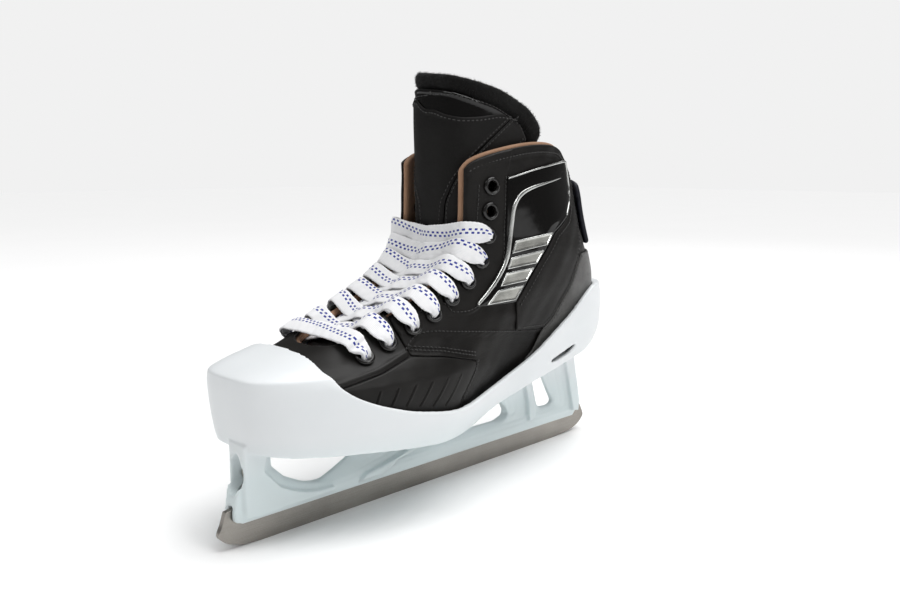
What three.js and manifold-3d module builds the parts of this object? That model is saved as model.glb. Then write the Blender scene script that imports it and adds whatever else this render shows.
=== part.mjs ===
// A goaltender's ice skate for the left foot, in millimetres, +Z up.
// +X is the wearer's left (the outer side of the foot), the toe points to -Y and the heel to +Y.
// The origin is under the middle of the skate, on the level of the runner's bottom edge.
import * as THREE from 'three';
import { mergeVertices } from 'three/addons/utils/BufferGeometryUtils.js';
import Module from 'manifold-3d';

const wasm = await Module();
wasm.setup();

// ---- driving dimensions ----
const RUNNER_THICKNESS = 3;
const RUNNER_SHOWING = 13.4;
const GAP = 0.35;
const TOE_SHIFT = 7;
const MEDIAL_NARROWING = 0.06;
const QUARTER_THICKNESS = 2;
const LINER_THICKNESS = 3.6;
const OVERLAY_THICKNESS = 1.1;
const COUNTER_THICKNESS = 1.2;
const COWLING_WALL = 3;
const SOLE_THICKNESS = 2.6;
const FOOTBED_THICKNESS = 4;
const EYELET_OUTER_RADIUS = 5.1;
const EYELET_BORE_RADIUS = 3;
const EYELET_BARREL_RADIUS = 3.7;
const LACE_WIDTH = 8.4;
const LACE_THICKNESS = 1.3;
const LACED_EYELETS = 8;
const THROAT_HALF_WIDTH = 28;
const TONGUE_FACE_THICKNESS = 2.6;
const TONGUE_FELT_THICKNESS = 4.2;
const TONGUE_HINGE = { y: -8, z: 172 };
const RIVET_HEAD_RADIUS = 4;
const RIVET_SHANK_RADIUS = 1.8;
const BOLT_RADIUS = 2.1;
const BOLT_HEAD_RADIUS = 3.6;
const AROUND = 32;
// The shapes below are drawn from the middle of the runner. This moves the whole skate so that the
// origin is under the middle of its outer size.
const MIDDLE = { x: -1.36, y: 2.55 };

// The boot's outer skin as level slices: height, front end, back end, half width at the ball,
// half width at the heel, and how blunt the front and back ends are (smaller is blunter).
const BOOT_SLICES = [
  [40, -126, 112, 43.5, 25, 0.60, 0.66],
  [50, -131, 119, 45.5, 29.5, 0.57, 0.64],
  [60, -133, 125, 47.5, 33.5, 0.55, 0.63],
  [70, -134, 130, 48.5, 36, 0.55, 0.63],
  [78, -133.5, 133, 48, 37, 0.55, 0.63],
  [84, -129, 134, 46, 37, 0.56, 0.64],
  [88, -119, 134, 44.5, 37, 0.56, 0.66],
  [92, -106, 134, 43, 37.5, 0.56, 0.67],
  [97, -94, 133.5, 41.5, 38, 0.55, 0.69],
  [103, -82, 132.5, 40.5, 38.5, 0.55, 0.70],
  [110, -67, 131, 39.5, 39.5, 0.54, 0.72],
  [118, -50, 129, 39.5, 41, 0.53, 0.75],
  [127, -34, 125, 39.5, 42, 0.52, 0.78],
  [137, -22, 119.5, 39.5, 42.5, 0.51, 0.80],
  [149, -17, 114, 39, 41.5, 0.50, 0.83],
  [165, -16, 108, 38.5, 40, 0.50, 0.86],
  [182, -16, 104.5, 38, 39, 0.50, 0.88],
  [204, -16, 103, 38, 39, 0.50, 0.88],
];

// The cowling's outer face, in the same form.
const COWLING_SLICES = [
  [36, -128, 108, 45, 29, 0.62, 0.66],
  [44, -134, 116, 48.5, 33, 0.60, 0.65],
  [52, -137, 123, 51.2, 36.8, 0.58, 0.64],
  [62, -138.5, 129, 52.6, 40, 0.56, 0.63],
  [72, -139.5, 136, 53, 42, 0.55, 0.63],
  [81, -140.2, 141, 52.5, 43, 0.55, 0.63],
  [86, -140, 142.5, 50.5, 43, 0.55, 0.64],
  [89.5, -133, 142.7, 48.5, 43, 0.56, 0.65],
  [93, -121, 142.7, 47, 43, 0.56, 0.66],
  [97, -107, 142.5, 45.5, 43, 0.56, 0.67],
  [104, -90, 142, 44, 43, 0.55, 0.69],
  [116, -70, 139, 43, 43.5, 0.54, 0.72],
];

// The tongue's front face, in the same form. Only the front and sides of each slice are used.
const TONGUE_SLICES = [
  [84, -96, 120, 28, 29, 0.56, 0.70],
  [90, -86, 120, 28, 29, 0.55, 0.70],
  [97, -71, 120, 28, 29, 0.54, 0.70],
  [105, -54, 120, 28, 29, 0.53, 0.72],
  [114, -37, 118, 28, 29, 0.52, 0.74],
  [124, -21, 115, 28, 29, 0.51, 0.76],
  [136, -9.5, 110, 28, 29, 0.50, 0.80],
  [150, -5, 104, 28, 28.5, 0.50, 0.83],
  [170, -5, 98, 28, 28, 0.50, 0.86],
  [188, -5, 96, 28, 28.5, 0.50, 0.88],
  [206, -5, 94, 29, 31, 0.50, 0.88],
  [224, -4.5, 92, 30, 34, 0.50, 0.88],
  [246, -4, 88, 31, 35, 0.50, 0.88],
];

// The tendon guard's rear face, in the same form. Only the back of each slice is used.
const GUARD_SLICES = [
  [130, -20, 126, 42, 45, 0.50, 0.80],
  [138, -20, 124, 42, 45, 0.50, 0.80],
  [148, -17, 121, 41, 43.5, 0.50, 0.82],
  [158, -16, 118.5, 40, 42, 0.50, 0.84],
  [169, -16, 116.5, 40, 41, 0.50, 0.86],
  [184, -16, 114.5, 40, 40, 0.50, 0.86],
];

const COLOURS = {
  leather: { color: '#171717', roughness: 0.5, metalness: 0 },
  gloss: { color: '#060606', roughness: 0.08, metalness: 0 },
  liner: { color: '#8a5f43', roughness: 0.85, metalness: 0 },
  felt: { color: '#0d0d0d', roughness: 0.95, metalness: 0 },
  nylon: { color: '#dfe6ea', roughness: 0.4, metalness: 0 },
  steel: { color: '#8b877f', roughness: 0.35, metalness: 1 },
  zinc: { color: '#b9b7ae', roughness: 0.3, metalness: 1 },
  composite: { color: '#1d1e20', roughness: 0.6, metalness: 0 },
  enamel: { color: '#0b0b0c', roughness: 0.25, metalness: 0.6 },
  cotton: { color: '#eceef2', roughness: 0.9, metalness: 0 },
};

// ---- small helpers ----
const smoothStep = (from, to, x) => THREE.MathUtils.smoothstep(x, from, to);

function solidFrom(geometry) {
  const bare = geometry.clone();
  bare.deleteAttribute('normal');
  bare.deleteAttribute('uv');
  const merged = mergeVertices(bare, 1e-4);
  const mesh = new wasm.Mesh({
    numProp: 3,
    vertProperties: new Float32Array(merged.attributes.position.array),
    triVerts: new Uint32Array(merged.index.array),
  });
  return new wasm.Manifold(mesh);
}

function geometryFrom(solid) {
  const mesh = solid.getMesh();
  const geometry = new THREE.BufferGeometry();
  geometry.setAttribute('position', new THREE.BufferAttribute(mesh.vertProperties, 3));
  geometry.setIndex(new THREE.BufferAttribute(mesh.triVerts, 1));
  geometry.computeVertexNormals();
  return geometry;
}

// A closed outline through [a, b] points; a nested list of points is one smooth curve.
function outline(parts) {
  const shape = new THREE.Shape();
  const vector = ([a, b]) => new THREE.Vector2(a, b);
  let begun = false;
  for (const part of parts) {
    const curved = Array.isArray(part[0]);
    const start = curved ? part[0] : part;
    if (begun) shape.lineTo(start[0], start[1]);
    else shape.moveTo(start[0], start[1]);
    begun = true;
    if (curved) shape.splineThru(part.slice(1).map(vector));
  }
  shape.closePath();
  return shape;
}

// A solid with a side-view outline (Y, Z), running from xFrom to xTo.
function sidePrism(parts, xFrom, xTo, curveSegments = 8) {
  const geometry = new THREE.ExtrudeGeometry(outline(parts), {
    depth: xTo - xFrom,
    bevelEnabled: false,
    curveSegments,
  });
  geometry.applyMatrix4(new THREE.Matrix4().makeBasis(
    new THREE.Vector3(0, 1, 0),
    new THREE.Vector3(0, 0, 1),
    new THREE.Vector3(1, 0, 0),
  ));
  geometry.translate(xFrom, 0, 0);
  return solidFrom(geometry);
}

// A solid with a plan outline (X, Y), running from zFrom to zTo.
function planPrism(parts, zFrom, zTo, curveSegments = 8) {
  const geometry = new THREE.ExtrudeGeometry(outline(parts), {
    depth: zTo - zFrom,
    bevelEnabled: false,
    curveSegments,
  });
  geometry.translate(0, 0, zFrom);
  return solidFrom(geometry);
}

function block(size, centre) {
  const geometry = new THREE.BoxGeometry(...size);
  geometry.translate(...centre);
  return solidFrom(geometry);
}

// A monotone cubic through the slice table keeps the sides free of bulges between slices.
function sliceAt(slices, z) {
  const last = slices.length - 1;
  let i = 0;
  while (i < last - 1 && slices[i + 1][0] < z) i += 1;
  const span = slices[i + 1][0] - slices[i][0];
  const t = THREE.MathUtils.clamp((z - slices[i][0]) / span, 0, 1);
  const slope = (k, column) => {
    if (k === 0 || k === last) return 0;
    const before = (slices[k][column] - slices[k - 1][column]) / (slices[k][0] - slices[k - 1][0]);
    const after = (slices[k + 1][column] - slices[k][column]) / (slices[k + 1][0] - slices[k][0]);
    return before * after <= 0 ? 0 : (2 * before * after) / (before + after);
  };
  return [1, 2, 3, 4, 5, 6].map((column) => {
    const a = slices[i][column];
    const b = slices[i + 1][column];
    const ta = slope(i, column) * span;
    const tb = slope(i + 1, column) * span;
    const t2 = t * t;
    const t3 = t2 * t;
    return a * (2 * t3 - 3 * t2 + 1) + ta * (t3 - 2 * t2 + t) + b * (3 * t2 - 2 * t3) + tb * (t3 - t2);
  });
}

// A point of a sliced surface: angle 0 is the toe, half a turn is the heel, and the first half is +X.
function surfacePoint(slices, z, angle) {
  const [front, back, ball, heel, frontEnd, backEnd] = sliceAt(slices, z);
  const along = (1 - Math.cos(angle)) / 2;
  const side = Math.sin(angle) >= 0 ? 1 : -1;
  const rearward = smoothStep(0.35, 0.62, along);
  let half = ball + (heel - ball) * rearward;
  if (side < 0) half *= 1 - MEDIAL_NARROWING * (1 - rearward);
  const bluntness = frontEnd + (backEnd - frontEnd) * smoothStep(0.3, 0.7, along);
  const shift = TOE_SHIFT * Math.max(0, 1 - along / 0.35) ** 2 * (1 - smoothStep(88, 125, z));
  const x = side * half * Math.abs(Math.sin(angle)) ** bluntness - shift;
  return new THREE.Vector3(x, front + (back - front) * along, z);
}

// The same point moved outward by an offset, square to the surface.
function offsetPoint(slices, z, angle, offset) {
  const stepZ = 0.6;
  const stepAngle = 0.03;
  const alongRing = surfacePoint(slices, z, angle + stepAngle).sub(surfacePoint(slices, z, angle - stepAngle));
  const upward = surfacePoint(slices, z + stepZ, angle).sub(surfacePoint(slices, z - stepZ, angle));
  const normal = alongRing.cross(upward).normalize();
  return surfacePoint(slices, z, angle).addScaledVector(normal, offset);
}

// A closed body from rings of points: each ring joins the next, and the two ends are capped or joined.
// From the ring numbered turnsBackAt on, the squares are split the other way, so that the two faces
// of a skin are cut into matching triangles.
function loftGeometry(rings, closeEnds, turnsBackAt = rings.length) {
  const count = rings[0].length;
  const positions = rings.flat().flatMap((p) => [p.x, p.y, p.z]);
  const faces = [];
  const bands = closeEnds ? rings.length - 1 : rings.length;
  for (let r = 0; r < bands; r += 1) {
    const next = (r + 1) % rings.length;
    for (let i = 0; i < count; i += 1) {
      const j = (i + 1) % count;
      const [a, b, c, d] = [r * count + i, r * count + j, next * count + j, next * count + i];
      if (r < turnsBackAt) faces.push(a, b, c, a, c, d);
      else faces.push(a, b, d, b, c, d);
    }
  }
  if (closeEnds) {
    const cap = (ring, flip) => {
      const flat = rings[ring].map((p) => new THREE.Vector2(p.x, p.y));
      for (const [a, b, c] of THREE.ShapeUtils.triangulateShape(flat, [])) {
        const [i, j, k] = [ring * count + a, ring * count + b, ring * count + c];
        if (flip) faces.push(i, k, j);
        else faces.push(i, j, k);
      }
    };
    cap(0, true);
    cap(rings.length - 1, false);
  }
  const geometry = new THREE.BufferGeometry();
  geometry.setAttribute('position', new THREE.Float32BufferAttribute(positions, 3));
  geometry.setIndex(faces);
  return geometry;
}

function ring(slices, z, offset, around = AROUND) {
  return Array.from({ length: around }, (_, i) => offsetPoint(slices, z, (i * 2 * Math.PI) / around, offset));
}

// A skin between two offsets of a sliced surface, open at the top and at the bottom.
function layer(slices, inner, outer, heights, around = AROUND) {
  const outside = heights.map((z) => ring(slices, z, outer, around));
  const inside = heights.map((z) => ring(slices, z, inner, around)).reverse();
  return solidFrom(loftGeometry([...outside, ...inside], false, heights.length));
}

// Everything inside an offset of a sliced surface.
function filled(slices, offset, heights, around = AROUND) {
  return solidFrom(loftGeometry(heights.map((z) => ring(slices, z, offset, around)), true));
}

const BIG = 400;
const lateralSide = block([BIG, BIG * 2, BIG * 2], [BIG / 2 + 0.2, 0, 0]);
const medialSide = block([BIG, BIG * 2, BIG * 2], [-BIG / 2 - 0.2, 0, 0]);

const skate = new THREE.Group();
const middle = new THREE.Group();
middle.position.set(MIDDLE.x, MIDDLE.y, 0);
skate.add(middle);

function addPiece(name, material, shape) {
  const geometry = shape.isBufferGeometry ? shape : geometryFrom(shape);
  const mesh = new THREE.Mesh(geometry, new THREE.MeshStandardMaterial(COLOURS[material]));
  mesh.name = name;
  middle.add(mesh);
}

// ---- runner ----
const RUNNER_SLOT_TOP = 31;
const runnerOutline = [
  [[-146, 20], [-148, 14], [-150, 9.4], [-149, 6.8], [-145, 3.6], [-137, 1], [-127, 0]],
  [[112, 0], [128, 1.2], [138, 3.8], [144.2, 8.2], [144.6, 12], [139, 21.5]],
  [128, 22.5],
  [126, 17.5],
  [-98, 17.5],
  [-100, 16],
  [-124, 16],
  [-126, RUNNER_SLOT_TOP],
  [-135, RUNNER_SLOT_TOP],
  [-138, 21.5],
];
addPiece('runner', 'steel', sidePrism(runnerOutline, -RUNNER_THICKNESS / 2, RUNNER_THICKNESS / 2, 3));

// ---- curves seen from the side, as [Y, Z] points ----
const SOLE_CURVE = [[-150, 58], [-128, 54], [-107, 51.5], [-85, 49.5], [-60, 47], [-38, 46], [-14, 47.5],
  [14, 54.5], [48, 62.5], [86, 69.5], [120, 73], [160, 74]];
const LOWER_EDGE = [[-150, 52], [-128, 48.5], [-107, 47], [-85, 45.5], [-60, 43], [-38, 41.5], [-14, 42.5],
  [14, 50], [48, 58.5], [86, 65], [108, 67.5], [124, 72.5], [134, 80], [150, 96]];
const COWLING_RIM = [[-104.5, 86], [-102, 82], [-95, 76.5], [-85, 71.5], [-74, 67.5], [-60, 63.5], [-36, 59.5],
  [-22, 59.5], [-9, 61.5], [12, 66], [33, 73], [53, 82], [79, 95], [94, 103.5], [106, 109], [120, 111], [160, 111]];
const COLLAR_CURVE = [[-9, 176], [-6, 187], [3, 193], [24, 198], [45, 200.5], [64, 199.5], [76, 193],
  [86, 183], [96, 174], [130, 170]];
const raised = (curve, by) => curve.map(([y, z]) => [y, z + by]);
const above = (curve, by = 0) => [raised(curve, by), [170, 300], [-160, 300]];
const below = (curve, by = 0) => [raised(curve, by), [170, -20], [-160, -20]];
const keep = (parts) => sidePrism(parts, -80, 80, 2);

// ---- boot wall, one skin cut into its panels ----
const bootHeights = [42, 58, 76, 84, 88, 93, 101, 111, 123, 138, 158, 203];
const bootLayer = (inner, outer) => layer(BOOT_SLICES, inner, outer, bootHeights);

const throat = (spread) => planPrism([
  [-THROAT_HALF_WIDTH - spread, 34],
  [-THROAT_HALF_WIDTH - spread, -8],
  [-24 - spread, -52],
  [[-20 - spread, -84], [-17 - spread, -90 - spread], [-9, -94 - spread]],
  [[4, -94 - spread], [13 + spread, -90 - spread], [17 + spread, -84]],
  [22 + spread, -52],
  [THROAT_HALF_WIDTH + spread, -8],
  [THROAT_HALF_WIDTH + spread, 34],
], 74, 260, 3);

const underCollar = [[-200, 20], [170, 20], [...COLLAR_CURVE].reverse(), [-14, 140], [-200, 130]];
const insideBoot = keep(underCollar).subtract(throat(0));
const wallBottom = keep(above(SOLE_CURVE, GAP + SOLE_THICKNESS + GAP));
const bootWall = bootLayer(-QUARTER_THICKNESS, 0).intersect(insideBoot).intersect(wallBottom);

// ---- eyelets ----
const EYELET_BOTTOM = -6.6;
const EYELETS = [[-80, 92], [-65, 97.5], [-49, 104], [-35, 109.5], [-22, 117], [-9.5, 125], [1, 136], [6.5, 149.5],
  [8, 163], [9, 177]];

// The angle round the slice at which the boot's side passes a given Y.
function angleAtY(slices, z, y) {
  const [front, back] = sliceAt(slices, z);
  return Math.acos(1 - (2 * (y - front)) / (back - front));
}

function eyeletFrame(index, side) {
  const [y, z] = EYELETS[index];
  const angle = side * angleAtY(BOOT_SLICES, z, y);
  const at = surfacePoint(BOOT_SLICES, z, angle);
  const out = offsetPoint(BOOT_SLICES, z, angle, 1).sub(at).normalize();
  return { at, out };
}

// A body of revolution stood on a point of the boot, its axis pointing out of it.
function turned(profile, { at, out }, segments = 8) {
  const geometry = new THREE.LatheGeometry(profile.map(([r, h]) => new THREE.Vector2(r, h)), segments);
  geometry.applyQuaternion(new THREE.Quaternion().setFromUnitVectors(new THREE.Vector3(0, 1, 0), out));
  geometry.translate(at.x, at.y, at.z);
  return solidFrom(geometry);
}

const EYELET_PROFILE = [
  [EYELET_BORE_RADIUS, EYELET_BOTTOM],
  [EYELET_BARREL_RADIUS, EYELET_BOTTOM],
  [EYELET_BARREL_RADIUS, 1.2],
  [EYELET_OUTER_RADIUS, 1.2],
  [EYELET_BORE_RADIUS + 0.6, 2.4],
  [EYELET_BORE_RADIUS, 1.8],
  [EYELET_BORE_RADIUS, EYELET_BOTTOM],
];
const EYELET_HOLE = [[0, -16], [EYELET_BARREL_RADIUS + 0.5, -16], [EYELET_BARREL_RADIUS + 0.5, 6], [0, 6]];

const SIDES = { lateral: 1, medial: -1 };
const eyeletHoles = {};
for (const [sideName, side] of Object.entries(SIDES)) {
  eyeletHoles[sideName] = EYELETS.map((_, i) => turned(EYELET_HOLE, eyeletFrame(i, side)));
  EYELETS.forEach((_, i) => addPiece(
    `eyelet_${sideName}_${i + 1}`,
    'enamel',
    turned(EYELET_PROFILE, eyeletFrame(i, side)),
  ));
}
const drilled = (solid, sideName) => eyeletHoles[sideName].reduce((rest, hole) => rest.subtract(hole), solid);
const bothDrilled = (solid) => drilled(drilled(solid, 'lateral'), 'medial');
const half = { lateral: lateralSide, medial: medialSide };

// ---- panels of the wall ----
const TOE_CAP_EDGE = -104;
const toeCapRegion = [[-200, 20], [TOE_CAP_EDGE, 20], [TOE_CAP_EDGE, 140], [-200, 140]];
const vampRegion = [[TOE_CAP_EDGE + GAP, 79.5], [-76, 85], [-56, 91], [-59, 104], [-57, 130],
  [TOE_CAP_EDGE + GAP, 130]];
const sidePanelRegion = [[TOE_CAP_EDGE + GAP, 30], [TOE_CAP_EDGE + GAP, 79.1], [-76, 84.6], [-56, 90.6],
  [-35, 87.5], [-13, 82], [-12, 79], [-25, 64], [-32, 30]];
const aheadOfQuarters = [[-200, 20], [-31.6, 20], [-31.6, 30], [-24.6, 64], [-11.6, 79], [-12.6, 82.4], [-35, 87.9],
  [-55.6, 91], [-58.6, 104], [-56.6, 130], [-200, 130]];
addPiece('toe_cap', 'composite', bootWall.intersect(keep(toeCapRegion)));
addPiece('vamp', 'leather', bothDrilled(bootWall.intersect(keep(vampRegion))));
for (const sideName of Object.keys(SIDES)) {
  const wall = bootWall.intersect(half[sideName]);
  addPiece(`side_panel_${sideName}`, 'leather', wall.intersect(keep(sidePanelRegion)));
  addPiece(`quarter_${sideName}`, 'leather', drilled(wall.subtract(keep(aheadOfQuarters)), sideName));
}

// ---- liner, padded, and its edge shows at the facings and round the collar ----
const linerOuter = -QUARTER_THICKNESS - GAP;
const linerInner = linerOuter - LINER_THICKNESS;
const linerBody = bootLayer(linerInner, linerOuter).intersect(insideBoot).intersect(wallBottom);
for (const sideName of Object.keys(SIDES)) {
  addPiece(`liner_${sideName}`, 'liner', drilled(linerBody.intersect(half[sideName]), sideName));
}

// ---- overlays on the quarters ----
const overlay = (inner, outer, region) => bootLayer(inner, outer).intersect(keep(region));
const glossRegion = [[-8, 110.5], [8, 121], [[16, 133], [18, 152], [19.5, 182]], [71, 191.5], [76, 189],
  [[80.5, 176], [79, 166], [72, 157]], [57, 149], [24, 110]];
const ankleRegion = [[24.8, 109.6], [57.8, 148.4], [[72.8, 156.4], [79.8, 165], [81.3, 176]], [79, 187], [87, 178],
  [90, 160], [90, 142], [84, 128], [76, 112], [62, 96], [54, 91], [26, 93]];
const counterRegion = [[36, 73], [44, 78], [54.4, 90.6], [62.4, 95.6], [76.4, 111.6], [84.4, 127.6], [90.4, 133.5],
  [160, 133.5], [160, 98]];
for (const sideName of Object.keys(SIDES)) {
  addPiece(`gloss_panel_${sideName}`, 'gloss',
    overlay(GAP, GAP + OVERLAY_THICKNESS, glossRegion).intersect(half[sideName]));
  addPiece(`ankle_overlay_${sideName}`, 'leather',
    overlay(GAP, GAP + OVERLAY_THICKNESS, ankleRegion).intersect(half[sideName]));
}
addPiece('heel_counter', 'leather', overlay(GAP, GAP + COUNTER_THICKNESS, counterRegion));

// ---- sole and footbed ----
const rivetPlaces = [[20, -88], [24, -58], [14, 98], [-24, -88], [-23, -58], [-14, 98]];
function soleAt(y) {
  const i = SOLE_CURVE.findIndex(([at]) => at > y);
  const [[y0, z0], [y1, z1]] = [SOLE_CURVE[i - 1], SOLE_CURVE[i]];
  const slope = (z1 - z0) / (y1 - y0);
  return { z: z0 + slope * (y - y0), out: new THREE.Vector3(0, -slope, 1).normalize() };
}
const rivetFrame = ([x, y]) => {
  const { z, out } = soleAt(y);
  return { at: new THREE.Vector3(x, y, z), out };
};
const RIVET_PROFILE = [
  [0, -6.9], [RIVET_HEAD_RADIUS - 1.2, -6.9], [RIVET_HEAD_RADIUS, -5.4], [RIVET_SHANK_RADIUS, -5.2],
  [RIVET_SHANK_RADIUS, 3.5], [RIVET_HEAD_RADIUS, 3.5], [RIVET_HEAD_RADIUS - 1, 4.4], [0, 4.4],
];
const RIVET_HOLE = [[0, -9], [RIVET_SHANK_RADIUS + 0.4, -9], [RIVET_SHANK_RADIUS + 0.4, 9], [0, 9]];
const riveted = (solid) => rivetPlaces.reduce(
  (rest, place) => rest.subtract(turned(RIVET_HOLE, rivetFrame(place))),
  solid,
);
rivetPlaces.forEach((place, i) => addPiece(`sole_rivet_${i + 1}`, 'zinc', turned(RIVET_PROFILE, rivetFrame(place))));

const fillHeights = [42, 58, 76, 84];
const rearBolt = { at: new THREE.Vector3(0, 112, soleAt(112).z + 0.5), out: new THREE.Vector3(0, 0, 1) };
const outsole = filled(BOOT_SLICES, -0.6, fillHeights)
  .intersect(keep(above(SOLE_CURVE, GAP)))
  .intersect(keep(below(SOLE_CURVE, GAP + SOLE_THICKNESS)))
  .subtract(turned([[0, -6], [BOLT_HEAD_RADIUS + 0.5, -6], [BOLT_HEAD_RADIUS + 0.5, 6], [0, 6]], rearBolt, 12));
addPiece('outsole', 'composite', riveted(outsole));
const footbedBottom = GAP + SOLE_THICKNESS + 2;
addPiece('footbed', 'felt', filled(BOOT_SLICES, linerInner - 0.7, fillHeights)
  .intersect(keep(above(SOLE_CURVE, footbedBottom)))
  .intersect(keep(below(SOLE_CURVE, footbedBottom + FOOTBED_THICKNESS))));

// ---- cowling: a moulded shell round the boot, on a holder that grips the runner ----
const cowlingHeights = [38, 47, 60, 74, 83, 86.5, 90, 94, 99, 114];
// At the heel the rim is thick: it reaches in to the boot.
const heelLip = block([140, 80, 30], [0, 134, 114])
  .subtract(filled(BOOT_SLICES, GAP + COUNTER_THICKNESS + GAP, [90, 97, 103, 110, 118, 127, 134]));
const cowlingHollow = filled(COWLING_SLICES, -COWLING_WALL, cowlingHeights)
  .intersect(keep(above(SOLE_CURVE)))
  .subtract(heelLip);
const cowlingShell = filled(COWLING_SLICES, 0, cowlingHeights)
  .intersect(keep(above(LOWER_EDGE)))
  .subtract(cowlingHollow);
const aboveRim = keep([COWLING_RIM, [170, 300], [-107.5, 300], [-107.5, 90]]);
const cowlingBody = cowlingShell.subtract(aboveRim);

const HOLDER_HALF_WIDTH = 8.5;
const HOLDER_PANEL_HALF_WIDTH = 5;
const RAIL_HALF_WIDTH = 5.5;
const holderTop = (from, to) => LOWER_EDGE.filter(([y]) => y > from && y < to).map(([y, z]) => [y, z + 2]);
const holderPanel = sidePrism([
  [[-143, 19], [-142.5, 15], [-139, RUNNER_SHOWING]],
  [128, RUNNER_SHOWING],
  [[134, 18], [133.5, 24], [130, 32]],
  [121.5, 60],
  [120.5, 73],
  ...holderTop(-130, 118).reverse(),
  [-138, 51],
], -HOLDER_PANEL_HALF_WIDTH, HOLDER_PANEL_HALF_WIDTH, 3);
const HOLDER_FRAMES = [
  // the front pillar and its triangular web
  [[-138, RUNNER_SHOWING + 2], [-138, 53], [-124, 50], [-127, 38], [[-118, 28], [-98, 20], [-84, 19.2]],
    [-84, RUNNER_SHOWING + 3]],
  // the broad strut from the rail up to the ball of the foot
  [[-66, 17], [[-62, 19.8], [-42, 23.5], [-22, 30], [-8, 42]], [0, 47], [[-4, 36], [-22, 25], [-44, 20]], [-50, 17]],
  // the front leg of the heel post
  [[68, 62.5], [74, 63.5], [84, 22], [78, 20]],
  // the rear leg of the heel post
  [[112, 69], [121.2, 71], [132, 24], [131, 17], [125, 18]],
];
const holderFrames = HOLDER_FRAMES.map((parts) => sidePrism(parts, -HOLDER_HALF_WIDTH, HOLDER_HALF_WIDTH, 3));
const rail = sidePrism(
  [[-139, RUNNER_SHOWING], [-140, 18.5], [131, 18.5], [128, RUNNER_SHOWING]],
  -RAIL_HALF_WIDTH,
  RAIL_HALF_WIDTH,
);
// Each window has a throat in the middle of the holder and opens out to a wider rim on both faces.
const WINDOWS = [
  {
    throat: [[-119, 50], [-119, 37.5], [[-111.5, 30], [-102, 25], [-96, 22.6], [-91, 21.6], [-86, 22.6], [-80.5, 25]],
      [-58, 36], [-46, 50]],
    rim: [[-122, 50], [-126, 37.6], [[-118, 28], [-107.5, 22.6], [-98, 20], [-90, 19.6], [-78, 20.4]], [-61, 22.5],
      [-42, 26], [-22, 34], [-14, 50]],
  },
  {
    throat: [[10, 60], [2, 25], [[52, 24.4], [59, 25.4], [61, 28.5], [58.5, 33]], [50, 41], [42, 60]],
    rim: [[-2, 60], [-6, 36], [-26, 25], [-50, 20.6], [[60, 21.4], [74, 21.8], [77, 25], [76, 36]], [73, 46], [70, 66]],
  },
  {
    throat: [[81, 66], [85, 50], [92, 27.5], [[95.7, 25.2], [105, 24.4], [109, 27], [104.5, 34.5]], [97, 47.7], [90, 66]],
    rim: [[79, 66], [81.5, 50], [87.5, 23], [[92, 21], [114, 20.6], [121, 23.5], [118, 38]], [115, 54], [112, 70]],
  },
];
const WINDOW_STEPS = [{ beyond: 0, key: 'throat' }, { beyond: 3.8, key: 'rim' }];
const underCowling = keep(below(LOWER_EDGE, -0.6));
const windows = WINDOWS.flatMap((window) => WINDOW_STEPS.flatMap(({ beyond, key }) => [-1, 1].map((side) => {
  const [from, to] = side > 0 ? [beyond, 30] : [-30, -beyond];
  return sidePrism(window[key], from, to, 4).intersect(underCowling);
})));
const PANEL_FLARE = planPrism([[-3, -160], [-8.5, -131], [-8.5, 150], [8.5, 150], [8.5, -131], [3, -160]], 0, 70);

const HEEL_SLOT_INNER_END = 12;
const frontBolt = { at: new THREE.Vector3(0, -131, 37), out: new THREE.Vector3(0, -1, 0) };
// The bolt's head sits in a bowl scooped out of the front pillar.
const BOWL = { radii: [5.8, 13, 11], centre: [0, -143, 38] };
const bowl = new THREE.SphereGeometry(1, 20, 12);
bowl.scale(...BOWL.radii);
bowl.translate(...BOWL.centre);
const headRoom = turned([[0, 0], [BOLT_HEAD_RADIUS + 0.5, 0], [BOLT_HEAD_RADIUS + 0.5, 9], [0, 9]], frontBolt, 12);
const pillarRecess = solidFrom(bowl).add(headRoom);
const boltHole = (length) => [[0, -length], [BOLT_RADIUS + 0.35, -length], [BOLT_RADIUS + 0.35, 3], [0, 3]];
const boltProfile = (length) => [[0, -length], [BOLT_RADIUS, -length], [BOLT_RADIUS, GAP], [BOLT_HEAD_RADIUS, GAP],
  [BOLT_HEAD_RADIUS, 2.2], [BOLT_HEAD_RADIUS - 0.6, 2.8], [0, 2.8]];
const FRONT_BOLT_LENGTH = 7;
const REAR_BOLT_LENGTH = 40;
addPiece('runner_bolt_front', 'zinc', turned(boltProfile(FRONT_BOLT_LENGTH), frontBolt));
addPiece('runner_bolt_rear', 'zinc', turned(boltProfile(REAR_BOLT_LENGTH), rearBolt));

const SLOT_HALF_WIDTH = RUNNER_THICKNESS / 2 + 0.3;
const runnerSlot = sidePrism(runnerOutline, -SLOT_HALF_WIDTH, SLOT_HALF_WIDTH, 3);
const slotRelief = sidePrism([
  [-136, 10], [-139, 22.2], [-136, RUNNER_SLOT_TOP + 0.5], [-125.4, RUNNER_SLOT_TOP + 0.5],
  [-123.4, 18.2], [125.4, 18.2], [127.6, 23], [135, 22.6], [140, 10],
], -SLOT_HALF_WIDTH, SLOT_HALF_WIDTH);
const heelSlot = sidePrism(
  [[57, 68.6], [[72, 71.6], [86, 74.4], [88.5, 73.6], [81, 70.4]], [68, 68.4]],
  HEEL_SLOT_INNER_END,
  60,
  2,
);

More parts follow.
